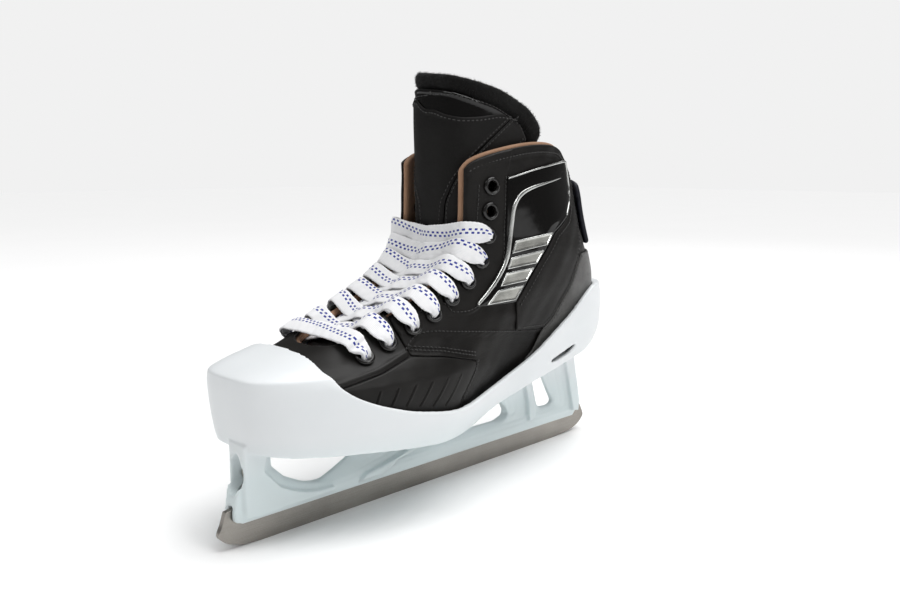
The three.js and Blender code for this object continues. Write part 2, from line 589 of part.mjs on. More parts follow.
let holder = rail.add(holderPanel);
for (const frame of holderFrames) holder = holder.add(frame);
holder = holder.intersect(PANEL_FLARE);
for (const window of windows) holder = holder.subtract(window);
let cowling = cowlingBody.add(holder)
  .subtract(pillarRecess)
  .subtract(runnerSlot)
  .subtract(slotRelief)
  .subtract(heelSlot)
  .subtract(turned(boltHole(FRONT_BOLT_LENGTH + 1), frontBolt))
  .subtract(turned(boltHole(REAR_BOLT_LENGTH + 2), rearBolt));
cowling = riveted(cowling);
addPiece('cowling', 'nylon', cowling);

// ---- tongue: a leather face on thick felt, in a lower part and an upper part that folds forward ----
const tongueHeights = [84, 94, 105, 116, 127, 137, 150, 172, 188, 204, 222, 242];
const tongueLayer = (inner, outer) => layer(TONGUE_SLICES, inner, outer, tongueHeights, 28);
const FELT_EDGE = [[-66, 84], [-52, 96], [-30, 108], [-6, 120], [8, 134], [16, 152], [22, 172], [36, 188], [50, 197],
  [57, 204], [57.5, 210.5], [51, 218], [42, 225], [27, 232], [13, 235.5], [0, 238], [-14, 240], [-40, 240.6]];
const FACE_EDGE = [[-69, 84], [-55, 96], [-33, 108], [-9, 120], [4, 134], [11, 152], [16, 172], [29, 188], [41, 198],
  [44.6, 203.5], [42, 209], [37.5, 214], [22, 221.8], [9, 225.8], [0, 228.4], [-8, 231], [-17, 232], [-40, 232.5]];
const tongueRegion = (edge) => keep([[-90, 84], edge, [-120, 240], [-120, 160], [-90, 100]]);
const felt = tongueLayer(-TONGUE_FACE_THICKNESS - TONGUE_FELT_THICKNESS, -TONGUE_FACE_THICKNESS - GAP)
  .intersect(tongueRegion(FELT_EDGE));
const face = tongueLayer(-TONGUE_FACE_THICKNESS, 0).intersect(tongueRegion(FACE_EDGE));
const belowFold = keep([[-120, 20], [60, 20], [60, TONGUE_HINGE.z - 10], [TONGUE_HINGE.y - 4, TONGUE_HINGE.z - 0.5],
  [-120, TONGUE_HINGE.z - 0.5]]);
const aboveFold = keep([[-120, TONGUE_HINGE.z], [60, TONGUE_HINGE.z], [60, 300], [-120, 300]]);
addPiece('tongue_face_lower', 'leather', face.intersect(belowFold));
addPiece('tongue_face_upper', 'leather', face.intersect(aboveFold));
addPiece('tongue_felt_lower', 'felt', felt.intersect(belowFold));
addPiece('tongue_felt_upper', 'felt', felt.intersect(aboveFold));

// ---- tendon guard ----
function backPrism(parts, yFrom, yTo) {
  const geometry = new THREE.ExtrudeGeometry(outline(parts), {
    depth: yTo - yFrom,
    bevelEnabled: false,
    curveSegments: 4,
  });
  geometry.rotateX(Math.PI / 2);
  geometry.translate(0, yTo, 0);
  return solidFrom(geometry);
}
const GUARD_THICKNESS = 3.2;
const guardOutline = [[-25, 138], [[-24, 168], [-20, 176.5], [-12, 179.5]], [[12, 179.5], [20, 176.5], [24, 168]],
  [25, 138]];
addPiece('tendon_guard', 'leather', layer(GUARD_SLICES, -GUARD_THICKNESS, 0, [134, 144, 154, 164, 174, 183], 36)
  .intersect(backPrism(guardOutline, 60, 160)));

// ---- lace ----
// Each band goes into an eyelet from outside and comes back out from under the facing, over the
// tongue and across to the next eyelet of the other side.
const LACE_INSIDE = -8.4;
const LACE_ON_FACING = 3.2;
const LACE_OVER_FLANGE = 3.6;
const FACING_CURVE_RADIUS = 35;
const BUNCHED = { width: 4, thickness: 1.8 };
const FLAT = { width: LACE_WIDTH, thickness: LACE_THICKNESS };

// The point at an offset from a sliced surface, above the place on it nearest to the given point.
function onto(slices, point, offset) {
  let z = THREE.MathUtils.clamp(point.z, slices[0][0] + 1, slices.at(-1)[0] - 1);
  let angle = Math.sign(point.x || 1) * 0.5;
  const far = (atZ, atAngle) => surfacePoint(slices, atZ, atAngle).distanceTo(point);
  for (let step = 8; step > 0.02; step /= 1.5) {
    for (let tries = 0; tries < 12; tries += 1) {
      const options = [[z, angle], [z + step, angle], [z - step, angle], [z, angle + step / 20], [z, angle - step / 20],
        [z + step, angle + step / 20], [z - step, angle - step / 20], [z + step, angle - step / 20],
        [z - step, angle + step / 20]];
      const best = options.reduce((a, b) => (far(...b) < far(...a) ? b : a));
      if (best === options[0]) break;
      [z, angle] = best;
    }
  }
  return offsetPoint(slices, z, angle, offset);
}

function lacePlace(side, k, inward, offset, upward, section) {
  const { at, out } = eyeletFrame(k, side);
  const before = eyeletFrame(Math.max(0, k - 1), side).at;
  const after = eyeletFrame(Math.min(EYELETS.length - 1, k + 1), side).at;
  const up = after.sub(before).normalize();
  if (inward === 0) return { at: at.clone().addScaledVector(out, offset), up, ...section };
  const across = new THREE.Vector3().crossVectors(up, out).normalize();
  if (across.x * side > 0) across.negate();
  const sag = inward ** 2 / (2 * FACING_CURVE_RADIUS);
  const rough = at.clone().addScaledVector(across, inward).addScaledVector(out, -sag).addScaledVector(up, upward);
  return { at: onto(BOOT_SLICES, rough, offset), up, ...section };
}

function overTongue(from, to, share, offset) {
  const straight = from.at.clone().lerp(to.at, share);
  const up = from.up.clone().lerp(to.up, share).normalize();
  return { at: onto(TONGUE_SLICES, straight, offset), up, ...FLAT };
}

// From inside one eyelet to inside the next eyelet up on the other side.
function crossing(side, k) {
  const leaving = lacePlace(side, k, 12, -7.5, 4.5, FLAT);
  const arriving = lacePlace(-side, k + 1, 15, LACE_ON_FACING, -1, FLAT);
  return [
    leaving,
    overTongue(leaving, arriving, 0.2, 3.2),
    overTongue(leaving, arriving, 0.35, 4.2),
    overTongue(leaving, arriving, 0.5, side < 0 ? 6 : 4.2),
    overTongue(leaving, arriving, 0.72, side < 0 ? 6.4 : 5.6),
    arriving,
    lacePlace(-side, k + 1, 6, LACE_OVER_FLANGE, 0, FLAT),
    lacePlace(-side, k + 1, 0, LACE_OVER_FLANGE, 0, BUNCHED),
    lacePlace(-side, k + 1, 0, LACE_INSIDE, 0, BUNCHED),
  ];
}

function chain(side) {
  const points = [lacePlace(side, 0, 0, LACE_INSIDE, 0, BUNCHED)];
  let from = side;
  for (let k = 0; k < LACED_EYELETS - 1; k += 1) {
    points.push(...crossing(from, k));
    from = -from;
  }
  const { up } = points.at(-1);
  const tail = (y, z) => ({ at: new THREE.Vector3(from * 27.5, y, z), up, ...BUNCHED });
  points.push(tail(24, 147), tail(40, 141));
  return { points, endSide: from };
}

const barSide = (side) => [
  lacePlace(side, 0, 0, LACE_OVER_FLANGE, 0, BUNCHED),
  lacePlace(side, 0, 6, LACE_OVER_FLANGE, 0, FLAT),
  lacePlace(side, 0, 13, LACE_ON_FACING + 1, 0, FLAT),
];
const bar = [...barSide(-1), ...barSide(1).reverse()];
const [startingMedial, startingLateral] = [chain(-1), chain(1)];
const laceRoute = [...startingMedial.points.reverse(), ...bar, ...startingLateral.points];

function ribbon(route) {
  const rings = route.map(({ at, up, width, thickness }, i) => {
    const ahead = route[Math.min(route.length - 1, i + 1)].at;
    const behind = route[Math.max(0, i - 1)].at;
    const tangent = ahead.clone().sub(behind).normalize();
    const wide = up.clone().addScaledVector(tangent, -up.dot(tangent)).normalize();
    const thick = new THREE.Vector3().crossVectors(tangent, wide);
    return [[1, 1], [-1, 1], [-1, -1], [1, -1]].map(([a, b]) => at.clone()
      .addScaledVector(wide, (a * width) / 2)
      .addScaledVector(thick, (b * thickness) / 2));
  });
  return ringsToSolid(rings);
}

// Caps here are four-sided, so they are split by hand.
function ringsToSolid(rings) {
  const count = rings[0].length;
  const geometry = new THREE.BufferGeometry();
  const positions = rings.flat().flatMap((p) => [p.x, p.y, p.z]);
  const faces = [];
  for (let r = 0; r < rings.length - 1; r += 1) {
    for (let i = 0; i < count; i += 1) {
      const j = (i + 1) % count;
      const [a, b, c, d] = [r * count + i, r * count + j, (r + 1) * count + j, (r + 1) * count + i];
      faces.push(a, b, c, a, c, d);
    }
  }
  const last = (rings.length - 1) * count;
  faces.push(0, 2, 1, 0, 3, 2, last, last + 1, last + 2, last, last + 2, last + 3);
  geometry.setAttribute('position', new THREE.Float32BufferAttribute(positions, 3));
  geometry.setIndex(faces);
  return solidFrom(geometry);
}
addPiece('lace', 'cotton', ribbon(laceRoute));

// ---- lace tips, tucked inside the boot ----
const AGLET_LENGTH = 20;
const AGLET_RADIUS = 1.5;
for (const [sideName, side] of Object.entries(SIDES)) {
  const along = new THREE.Vector3(0, 16, -6).normalize();
  const at = new THREE.Vector3(side * 27.5, 40, 141).addScaledVector(along, GAP * 2);
  addPiece(`lace_tip_${sideName}`, 'enamel', turned(
    [[0, 0], [AGLET_RADIUS, 0], [AGLET_RADIUS * 0.8, AGLET_LENGTH], [0, AGLET_LENGTH]],
    { at, out: along },
  ));
}

export default skate;
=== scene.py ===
"""A left goaltender's ice skate: the looks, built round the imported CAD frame.

Shapes are worked out in millimetres from the middle of the runner, as the CAD model is, and turned
into metres when a mesh is made. +X is the outer side of the foot, -Y the toe, +Z up.
"""
import math

import bmesh
import bpy
import numpy as np
from mathutils import Matrix, Vector


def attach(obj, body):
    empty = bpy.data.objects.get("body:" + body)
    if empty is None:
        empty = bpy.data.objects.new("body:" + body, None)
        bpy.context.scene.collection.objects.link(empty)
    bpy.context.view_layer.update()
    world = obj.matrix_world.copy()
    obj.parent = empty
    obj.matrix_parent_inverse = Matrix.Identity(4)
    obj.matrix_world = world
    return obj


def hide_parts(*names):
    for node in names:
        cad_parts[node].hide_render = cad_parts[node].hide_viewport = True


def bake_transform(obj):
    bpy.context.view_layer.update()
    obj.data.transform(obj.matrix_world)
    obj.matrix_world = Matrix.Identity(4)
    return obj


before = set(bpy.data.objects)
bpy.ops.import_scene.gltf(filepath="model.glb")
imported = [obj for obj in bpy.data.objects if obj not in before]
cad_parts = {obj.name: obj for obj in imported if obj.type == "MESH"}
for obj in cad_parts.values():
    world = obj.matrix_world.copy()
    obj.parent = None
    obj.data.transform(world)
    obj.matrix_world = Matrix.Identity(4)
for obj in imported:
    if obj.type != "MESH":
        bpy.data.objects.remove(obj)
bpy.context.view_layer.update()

MM = 0.001
BODY = "skate"
# What is added to a place in these drawings to give its place in the shared frame.
MIDDLE = np.array([-1.36, 2.55, 0.0])
SIDES = {"lateral": 1, "medial": -1}
GAP = 0.35
WALL_THICKNESS = 2.0
LINER_OUTER = -2.35
LINER_INNER = -5.95
OVERLAY_TOP = 1.45
# Solids that are cut in side view reach at least this far to both sides.
BEYOND_SIDES = 80
TOE_SHIFT = 7.0
MEDIAL_NARROWING = 0.06

# Level slices: height, front end, back end, half width at the ball, half width at the heel, and how
# blunt the front and back ends are.
BOOT_SLICES = [
    [40, -126, 112, 43.5, 25, 0.60, 0.66],
    [50, -131, 119, 45.5, 29.5, 0.57, 0.64],
    [60, -133, 125, 47.5, 33.5, 0.55, 0.63],
    [70, -134, 130, 48.5, 36, 0.55, 0.63],
    [78, -133.5, 133, 48, 37, 0.55, 0.63],
    [84, -129, 134, 46, 37, 0.56, 0.64],
    [88, -119, 134, 44.5, 37, 0.56, 0.66],
    [92, -106, 134, 43, 37.5, 0.56, 0.67],
    [97, -94, 133.5, 41.5, 38, 0.55, 0.69],
    [103, -82, 132.5, 40.5, 38.5, 0.55, 0.70],
    [110, -67, 131, 39.5, 39.5, 0.54, 0.72],
    [118, -50, 129, 39.5, 41, 0.53, 0.75],
    [127, -34, 125, 39.5, 42, 0.52, 0.78],
    [137, -22, 119.5, 39.5, 42.5, 0.51, 0.80],
    [149, -17, 114, 39, 41.5, 0.50, 0.83],
    [165, -16, 108, 38.5, 40, 0.50, 0.86],
    [182, -16, 104.5, 38, 39, 0.50, 0.88],
    [204, -16, 103, 38, 39, 0.50, 0.88],
]
COWLING_SLICES = [
    [36, -128, 108, 45, 29, 0.62, 0.66],
    [44, -134, 116, 48.5, 33, 0.60, 0.65],
    [52, -137, 123, 51.2, 36.8, 0.58, 0.64],
    [62, -138.5, 129, 52.6, 40, 0.56, 0.63],
    [72, -139.5, 136, 53, 42, 0.55, 0.63],
    [81, -140.2, 141, 52.5, 43, 0.55, 0.63],
    [86, -140, 142.5, 50.5, 43, 0.55, 0.64],
    [89.5, -133, 142.7, 48.5, 43, 0.56, 0.65],
    [93, -121, 142.7, 47, 43, 0.56, 0.66],
    [97, -107, 142.5, 45.5, 43, 0.56, 0.67],
    [104, -90, 142, 44, 43, 0.55, 0.69],
    [116, -70, 139, 43, 43.5, 0.54, 0.72],
]
TONGUE_SLICES = [
    [84, -96, 120, 28, 29, 0.56, 0.70],
    [90, -86, 120, 28, 29, 0.55, 0.70],
    [97, -71, 120, 28, 29, 0.54, 0.70],
    [105, -54, 120, 28, 29, 0.53, 0.72],
    [114, -37, 118, 28, 29, 0.52, 0.74],
    [124, -21, 115, 28, 29, 0.51, 0.76],
    [136, -9.5, 110, 28, 29, 0.50, 0.80],
    [150, -5, 104, 28, 28.5, 0.50, 0.83],
    [170, -5, 98, 28, 28, 0.50, 0.86],
    [188, -5, 96, 28, 28.5, 0.50, 0.88],
    [206, -5, 94, 29, 31, 0.50, 0.88],
    [224, -4.5, 92, 30, 34, 0.50, 0.88],
    [246, -4, 88, 31, 35, 0.50, 0.88],
]
GUARD_SLICES = [
    [130, -20, 126, 42, 45, 0.50, 0.80],
    [138, -20, 124, 42, 45, 0.50, 0.80],
    [148, -17, 121, 41, 43.5, 0.50, 0.82],
    [158, -16, 118.5, 40, 42, 0.50, 0.84],
    [169, -16, 116.5, 40, 41, 0.50, 0.86],
    [184, -16, 114.5, 40, 40, 0.50, 0.86],
]


def unit(vectors):
    """The vectors along the last axis, each at length one."""
    return vectors / np.linalg.norm(vectors, axis=-1, keepdims=True)


def smooth_step(low, high, x):
    """Goes smoothly from 0 at low to 1 at high."""
    t = np.clip((np.asarray(x, float) - low) / (high - low), 0, 1)
    return t * t * (3 - 2 * t)


def slice_at(slices, z):
    """The six numbers of a slice at any height, by a monotone cubic."""
    table = np.asarray(slices, float)
    heights, values = table[:, 0], table[:, 1:]
    steps = np.diff(heights)[:, None]
    secants = np.diff(values, axis=0) / steps
    slopes = np.zeros_like(values)
    product = secants[:-1] * secants[1:]
    total = secants[:-1] + secants[1:]
    safe = np.where(np.abs(total) < 1e-12, 1, total)
    slopes[1:-1] = np.where(product > 0, 2 * product / safe, 0)
    z = np.clip(np.asarray(z, float), heights[0], heights[-1])
    i = np.clip(np.searchsorted(heights, z) - 1, 0, len(heights) - 2)
    span = (heights[i + 1] - heights[i])[..., None]
    t = ((z - heights[i])[..., None]) / span
    a, b = values[i], values[i + 1]
    ta, tb = slopes[i] * span, slopes[i + 1] * span
    return (a * (2 * t**3 - 3 * t**2 + 1) + ta * (t**3 - 2 * t**2 + t)
            + b * (3 * t**2 - 2 * t**3) + tb * (t**3 - t**2))


def surface(slices, angle, z):
    """Points of a sliced surface: angle 0 is the toe, pi is the heel, and the first half is +X."""
    angle, z = np.broadcast_arrays(np.asarray(angle, float), np.asarray(z, float))
    front, back, ball, heel, front_end, back_end = np.moveaxis(slice_at(slices, z), -1, 0)
    along = (1 - np.cos(angle)) / 2
    side = np.where(np.sin(angle) >= 0, 1.0, -1.0)
    rearward = smooth_step(0.35, 0.62, along)
    half = ball + (heel - ball) * rearward
    half = np.where(side < 0, half * (1 - MEDIAL_NARROWING * (1 - rearward)), half)
    bluntness = front_end + (back_end - front_end) * smooth_step(0.3, 0.7, along)
    shift = TOE_SHIFT * np.maximum(0, 1 - along / 0.35) ** 2 * (1 - smooth_step(88, 125, z))
    x = side * half * np.abs(np.sin(angle)) ** bluntness - shift
    return np.stack([x, front + (back - front) * along, z], -1)


def offset_surface(slices, angle, z, offset):
    """Points that stand off a sliced surface by a distance, along its normal."""
    step_z, step_angle = 0.6, 0.03
    ring = surface(slices, angle + step_angle, z) - surface(slices, angle - step_angle, z)
    up = surface(slices, angle, z + step_z) - surface(slices, angle, z - step_z)
    normal = unit(np.cross(ring, up))
    return surface(slices, angle, z) + normal * np.asarray(offset)[..., None]


def angle_at_y(slices, z, y):
    """The angle on the outer side at which a sliced surface reaches a given Y."""
    ends = slice_at(slices, z)
    along = np.clip((np.asarray(y) - ends[..., 0]) / (ends[..., 1] - ends[..., 0]), 0, 1)
    return np.arccos(1 - 2 * along)


def surface_frame(slices, angle, z):
    """Points of a sliced surface and its outward directions there."""
    at = surface(slices, angle, z)
    return at, offset_surface(slices, angle, z, 1.0) - at


def onto(slices, point, offset):
    """The point at an offset from a sliced surface, above the place on it nearest to a point."""
    z_mid, angle_mid = point[2], 0.6 * np.sign(point[0] or 1)
    z_span, angle_span = 40.0, 1.4
    for _ in range(6):
        z, angle = np.meshgrid(np.linspace(z_mid - z_span, z_mid + z_span, 25),
                               np.linspace(angle_mid - angle_span, angle_mid + angle_span, 25))
        z = np.clip(z, slices[0][0] + 1, slices[-1][0] - 1)
        best = np.argmin(np.linalg.norm(surface(slices, angle, z) - point, axis=-1))
        z_mid, angle_mid = z.ravel()[best], angle.ravel()[best]
        z_span, angle_span = z_span / 6, angle_span / 6
    return offset_surface(slices, angle_mid, z_mid, offset)


# ---------------------------------------------------------------- outlines
def spline(points, per_span=10):
    """A Catmull-Rom curve through the points."""
    p = np.asarray(points, float)
    padded = np.vstack([2 * p[0] - p[1], p, 2 * p[-1] - p[-2]])
    share = (np.arange(per_span) / per_span)[:, None]
    spans = []
    for i in range(len(p) - 1):
        a, b, c, d = padded[i:i + 4]
        spans.append(0.5 * (2 * b + (c - a) * share + (2 * a - 5 * b + 4 * c - d) * share**2
                            + (3 * b - a - 3 * c + d) * share**3))
    return np.vstack(spans + [p[-1:]])


def outline(parts):
    """A closed outline; a nested list of points is one smooth curve."""
    return np.vstack([spline(part) if np.ndim(part) == 2 else [part] for part in parts])


def travelled(line):
    """How far along a line each of its points lies."""
    return np.concatenate([[0], np.cumsum(np.linalg.norm(np.diff(line, axis=0), axis=1))])


def even_points(line, count):
    """The same line with a given number of evenly spaced points."""
    line = np.asarray(line, float)
    length = travelled(line)
    at = np.linspace(0, length[-1], count)
    return np.stack([np.interp(at, length, column) for column in line.T], 1)


def resample(line, step):
    """The same line with points a step apart."""
    return even_points(line, max(2, int(round(travelled(line)[-1] / step)) + 1))


def distance_to_line(points, line):
    best = np.full(len(points), 1e9)
    for a, b in zip(line[:-1], line[1:]):
        d = b - a
        t = np.clip(((points - a) @ d) / max(d @ d, 1e-12), 0, 1)
        offset = points - a - t[:, None] * d
        best = np.minimum(best, np.einsum("ij,ij->i", offset, offset))
    return np.sqrt(best)


def signed_distance(points, polygon):
    """Distance to a closed outline, negative inside."""
    closed = np.vstack([polygon, polygon[:1]])
    x, y = points[:, 0], points[:, 1]
    inside = np.zeros(len(points), bool)
    for (ax, ay), (bx, by) in zip(closed[:-1], closed[1:]):
        if ay != by:
            crosses = (ay > y) != (by > y)
            inside ^= crosses & (x < (bx - ax) * (y - ay) / (by - ay) + ax)
    return np.where(inside, -1, 1) * distance_to_line(points, closed)


def above(curve, by=0.0):
    """The side-view region above a curve, which may first be raised."""
    curve = np.asarray(curve, float)
    return np.vstack([curve + [0, by], [[170, 300], [-160, 300]]])


def side_view(region):
    """A test on 3-D points that is negative inside a side-view outline."""
    polygon = region if isinstance(region, np.ndarray) else outline(region)
    return lambda p: signed_distance(p[:, 1:3], polygon)


def every(*tests):
    """A test that is negative where all the tests are."""
    return lambda p: np.max([test(p) for test in tests], axis=0)


def outside(test):
    """A test that is negative where the given one is positive."""
    return lambda p: -test(p)


# ---------------------------------------------------------------- meshes
def make_object(name, points_mm, faces, material, smooth=True):
    mesh = bpy.data.meshes.new(name)
    points = (np.asarray(points_mm, float) + MIDDLE) * MM
    mesh.from_pydata(points.tolist(), [], [[int(i) for i in face] for face in faces])
    mesh.update()
    mesh.materials.append(material)
    if smooth:
        mesh.shade_smooth()
    obj = bpy.data.objects.new(name, mesh)
    bpy.context.scene.collection.objects.link(obj)
    return obj


def set_attribute(obj, name, values):
    """Gives each vertex a number that the materials can read."""
    attribute = obj.data.attributes.new(name, "FLOAT", "POINT")
    attribute.data.foreach_set("value", np.asarray(values, np.float32))


def evaluated(obj):
    """Replaces an object's mesh by what its modifiers make of it."""
    bpy.context.view_layer.update()
    graph = bpy.context.evaluated_depsgraph_get()
    mesh = bpy.data.meshes.new_from_object(obj.evaluated_get(graph))
    old = obj.data
    obj.modifiers.clear()
    obj.data = mesh
    bpy.data.meshes.remove(old)
    return obj


def remove(obj):
    """Deletes an object and its mesh."""
    mesh = obj.data
    bpy.data.objects.remove(obj)
    bpy.data.meshes.remove(mesh)


def combine(obj, other, operation):
    """Joins or cuts a closed mesh with another one, which goes."""
    modifier = obj.modifiers.new("combine", "BOOLEAN")
    modifier.solver = "MANIFOLD"
    modifier.operation = operation
    modifier.object = other
    evaluated(obj)
    remove(other)
    return obj


def moulded(obj, voxel, passes):
    """Remakes a solid as one even skin with softly rounded edges, as a mould leaves it."""
    remesh = obj.modifiers.new("remesh", "REMESH")
    remesh.mode = "VOXEL"
    remesh.voxel_size = voxel * MM
    remesh.use_smooth_shade = True
    smooth = obj.modifiers.new("smooth", "SMOOTH")
    smooth.factor = 0.5
    smooth.iterations = passes
    evaluated(obj)
    obj.data.shade_smooth()
    return obj


def split_at(params, faces, values, level, keep_above=True):
    """Cuts triangles along a level of the values; keep_above says if the higher side stays."""
    values = np.where(np.abs(values - level) < 1e-4, level - 1e-4, values)
    low = values[faces] < level
    count = low.sum(1)
    whole = (count == 3) | ((count == 0) if keep_above else False)
    kept = [faces[whole]]
    added_params, added_values, made, new_faces = [], [], {}, []

    def crossing(i, j):
        key = (min(i, j), max(i, j))
        if key not in made:
            share = (values[i] - level) / (values[i] - values[j])
            made[key] = len(params) + len(added_params)
            added_params.append(params[i] + (params[j] - params[i]) * share)
            added_values.append(level)
        return made[key]

    for face in faces[(count > 0) & (count < 3)]:
        under, over = [], []
        for k in range(3):
            i, j = int(face[k]), int(face[(k + 1) % 3])
            (under if values[i] < level else over).append(i)
            if (values[i] < level) != (values[j] < level):
                middle = crossing(i, j)
                under.append(middle)
                over.append(middle)
        for polygon in ([under, over] if keep_above else [under]):
            new_faces += [(polygon[0], polygon[k], polygon[k + 1]) for k in range(1, len(polygon) - 1)]
    if new_faces:
        kept.append(np.array(new_faces))
        params = np.vstack([params, added_params])
        values = np.concatenate([values, added_values])
    return params, np.vstack(kept), values


def even_angles(slices, z, step, first=0.0, last=2 * np.pi):
    """Angles spaced evenly along the slice."""
    fine = np.linspace(first, last, 2001)
    length = travelled(surface(slices, fine, z))
    count = max(4, int(length[-1] / step))
    return np.interp(np.linspace(0, length[-1], count + 1), length, fine)


def even_heights(slices, low, high, step):
    """Heights that follow the slope of the front, so that a flat top gets its share of rows."""
    fine = np.linspace(low, high, 1201)
    front = slice_at(slices, fine)[:, 0]
    slope = np.abs(np.gradient(front, fine))
    length = np.concatenate([[0], np.cumsum(np.hypot(1, slope[1:] * 0.5) * np.diff(fine))])
    count = max(3, int(length[-1] / step))
    return np.interp(np.linspace(0, length[-1], count + 1), length, fine)


def border(faces):
    """The edges that only one triangle has."""
    edges = np.vstack([faces[:, [0, 1]], faces[:, [1, 2]], faces[:, [2, 0]]])
    _, index, counts = np.unique(np.sort(edges, 1), axis=0, return_index=True, return_counts=True)
    return edges[index[counts == 1]]


def patch(name, material, slices, angles, heights, inside, top, bottom, rounding=1.0, relief=None):
    """A closed sheet between two offsets of a sliced surface, cut to a region, with rounded edges.

    The region's test and the relief are given rows of x, y, z and angle.
    """
    a, z = np.meshgrid(angles, heights)
    params = np.stack([a.ravel(), z.ravel()], 1)
    columns = len(angles)
    r, c = np.meshgrid(np.arange(len(heights) - 1), np.arange(columns - 1), indexing="ij")
    corner = (r * columns + c).ravel()
    faces = np.vstack([np.stack([corner, corner + 1, corner + columns + 1], 1),
                       np.stack([corner, corner + columns + 1, corner + columns], 1)])
    values = inside(np.hstack([surface(slices, params[:, 0], params[:, 1]), params[:, :1]]))
    near = np.any(values[faces] < 2.5 * rounding + 3, axis=1)
    params, faces, values = split_at(params, faces[near], values, 0.0, keep_above=False)
    for share in (0.12, 0.35, 0.65, 1.0):
        params, faces, values = split_at(params, faces, values, -share * rounding)
    used, faces = np.unique(faces, return_inverse=True)
    faces = faces.reshape(-1, 3)
    params, depth = params[used], -values[used]
    base = surface(slices, params[:, 0], params[:, 1])
    key = np.round(base / 1e-3).astype(np.int64)
    _, first, inverse = np.unique(key, axis=0, return_index=True, return_inverse=True)
    faces = inverse.reshape(-1)[faces]
    whole = np.all(faces != np.roll(faces, 1, axis=1), axis=1)
    faces, params, depth, base = faces[whole], params[first], depth[first], base[first]
    edge = np.clip(1 - depth / rounding, 0, 1)
    fall = (1 - np.sqrt(1 - edge**2)) * min(rounding, (top - bottom) * 0.48)
    upper = top - fall
    lower = bottom + fall
    if relief is not None:
        upper = upper + relief(np.hstack([base, params[:, :1]]), depth)
    outer = offset_surface(slices, params[:, 0], params[:, 1], upper)
    inner = offset_surface(slices, params[:, 0], params[:, 1], lower)
    count = len(params)
    rim = border(faces)
    closing = np.vstack([np.stack([rim[:, 1], rim[:, 0], rim[:, 0] + count], 1),
                         np.stack([rim[:, 1], rim[:, 0] + count, rim[:, 1] + count], 1)])
    all_faces = np.vstack([faces, faces[:, ::-1] + count, closing])
    obj = make_object(name, np.vstack([outer, inner]), all_faces, material)
    set_attribute(obj, "edge_depth", np.concatenate([depth, depth]))
    return obj


def tube_faces(rings, around, flip=False):
    """The faces between rings of points, with both ends closed."""
    faces = []
    for r in range(rings - 1):
        for i in range(around):
            j = (i + 1) % around
            faces.append([r * around + i, r * around + j, (r + 1) * around + j, (r + 1) * around + i])
    last = (rings - 1) * around
    faces += [list(range(around))[::-1], [last + i for i in range(around)]]
    return [face[:1] + face[:0:-1] for face in faces] if flip else faces


def filled(slices, offset, heights, around=220):
    """A solid of everything inside an offset of a sliced surface."""
    angles = np.arange(around) * 2 * np.pi / around
    rings = [offset_surface(slices, angles, z, offset) for z in heights]
    return make_object("solid", np.vstack(rings), tube_faces(len(rings), around), PLAIN)


def prism(polygon, low, high, axis):
    """A solid with a flat outline, running along X ("x", outline in Y, Z) or along Z ("z")."""
    polygon = np.asarray(polygon, float)
    x, y = polygon[:, 0], polygon[:, 1]
    if np.sum(x * np.roll(y, -1) - y * np.roll(x, -1)) < 0:
        polygon = polygon[::-1]
    count = len(polygon)
    ends = []
    for at in (low, high):
        level = np.full((count, 1), float(at))
        ends.append(np.hstack([level, polygon] if axis == "x" else [polygon, level]))
    return make_object("solid", np.vstack(ends), tube_faces(2, count), PLAIN, smooth=False)


def trim(obj, line, by=0.0, operation="INTERSECT"):
    """Keeps what a solid has above a side-view line, or with DIFFERENCE what it has below."""
    return combine(obj, prism(above(line, by), -BEYOND_SIDES, BEYOND_SIDES, "x"), operation)


def named(obj, name, material):
    """Gives a solid that was cut and joined its own name and material."""
    obj.name = name
    obj.data.materials.clear()
    obj.data.materials.append(material)
    return obj


def face_outward(obj):
    """Turns all faces of a closed mesh outward."""
    bm = bmesh.new()
    bm.from_mesh(obj.data)
    bmesh.ops.recalc_face_normals(bm, faces=bm.faces)
    bm.to_mesh(obj.data)
    bm.free()
    return obj


def basis_for(out):
    """Three directions at right angles, the last of which is the given one."""
    out = unit(np.asarray(out, float))
    helper = np.array([0, 0, 1.0]) if abs(out[2]) < 0.9 else np.array([0, 1.0, 0])
    side = unit(np.cross(helper, out))
    return side, np.cross(out, side), out


def turned(name, material, profile, at, out, segments=48):
    """A body of revolution: a profile of [radius, height] that closes on itself or on the axis."""
    side, other, out = basis_for(out)
    profile = np.asarray(profile, float)
    on_axis = profile[0, 0] == 0
    if not on_axis and np.allclose(profile[0], profile[-1]):
        profile = profile[:-1]
    turn = np.arange(segments) * 2 * np.pi / segments
    ring = np.cos(turn)[:, None] * side + np.sin(turn)[:, None] * other
    points, index = [], []
    for radius, height in profile:
        index.append(len(points))
        if radius == 0:
            points.append(at + out * height)
        else:
            points += list(at + out * height + ring * radius)
    faces = []
    count = len(profile)
    for k in range(count if not on_axis else count - 1):
        n = (k + 1) % count
        a_point, b_point = profile[k, 0] == 0, profile[n, 0] == 0
        for i in range(segments):
            j = (i + 1) % segments
            if a_point:
                faces.append((index[k], index[n] + j, index[n] + i))
            elif b_point:
                faces.append((index[k] + i, index[k] + j, index[n]))
            else:
                faces.append((index[k] + i, index[k] + j, index[n] + j, index[n] + i))
    return face_outward(make_object(name, points, faces, material))


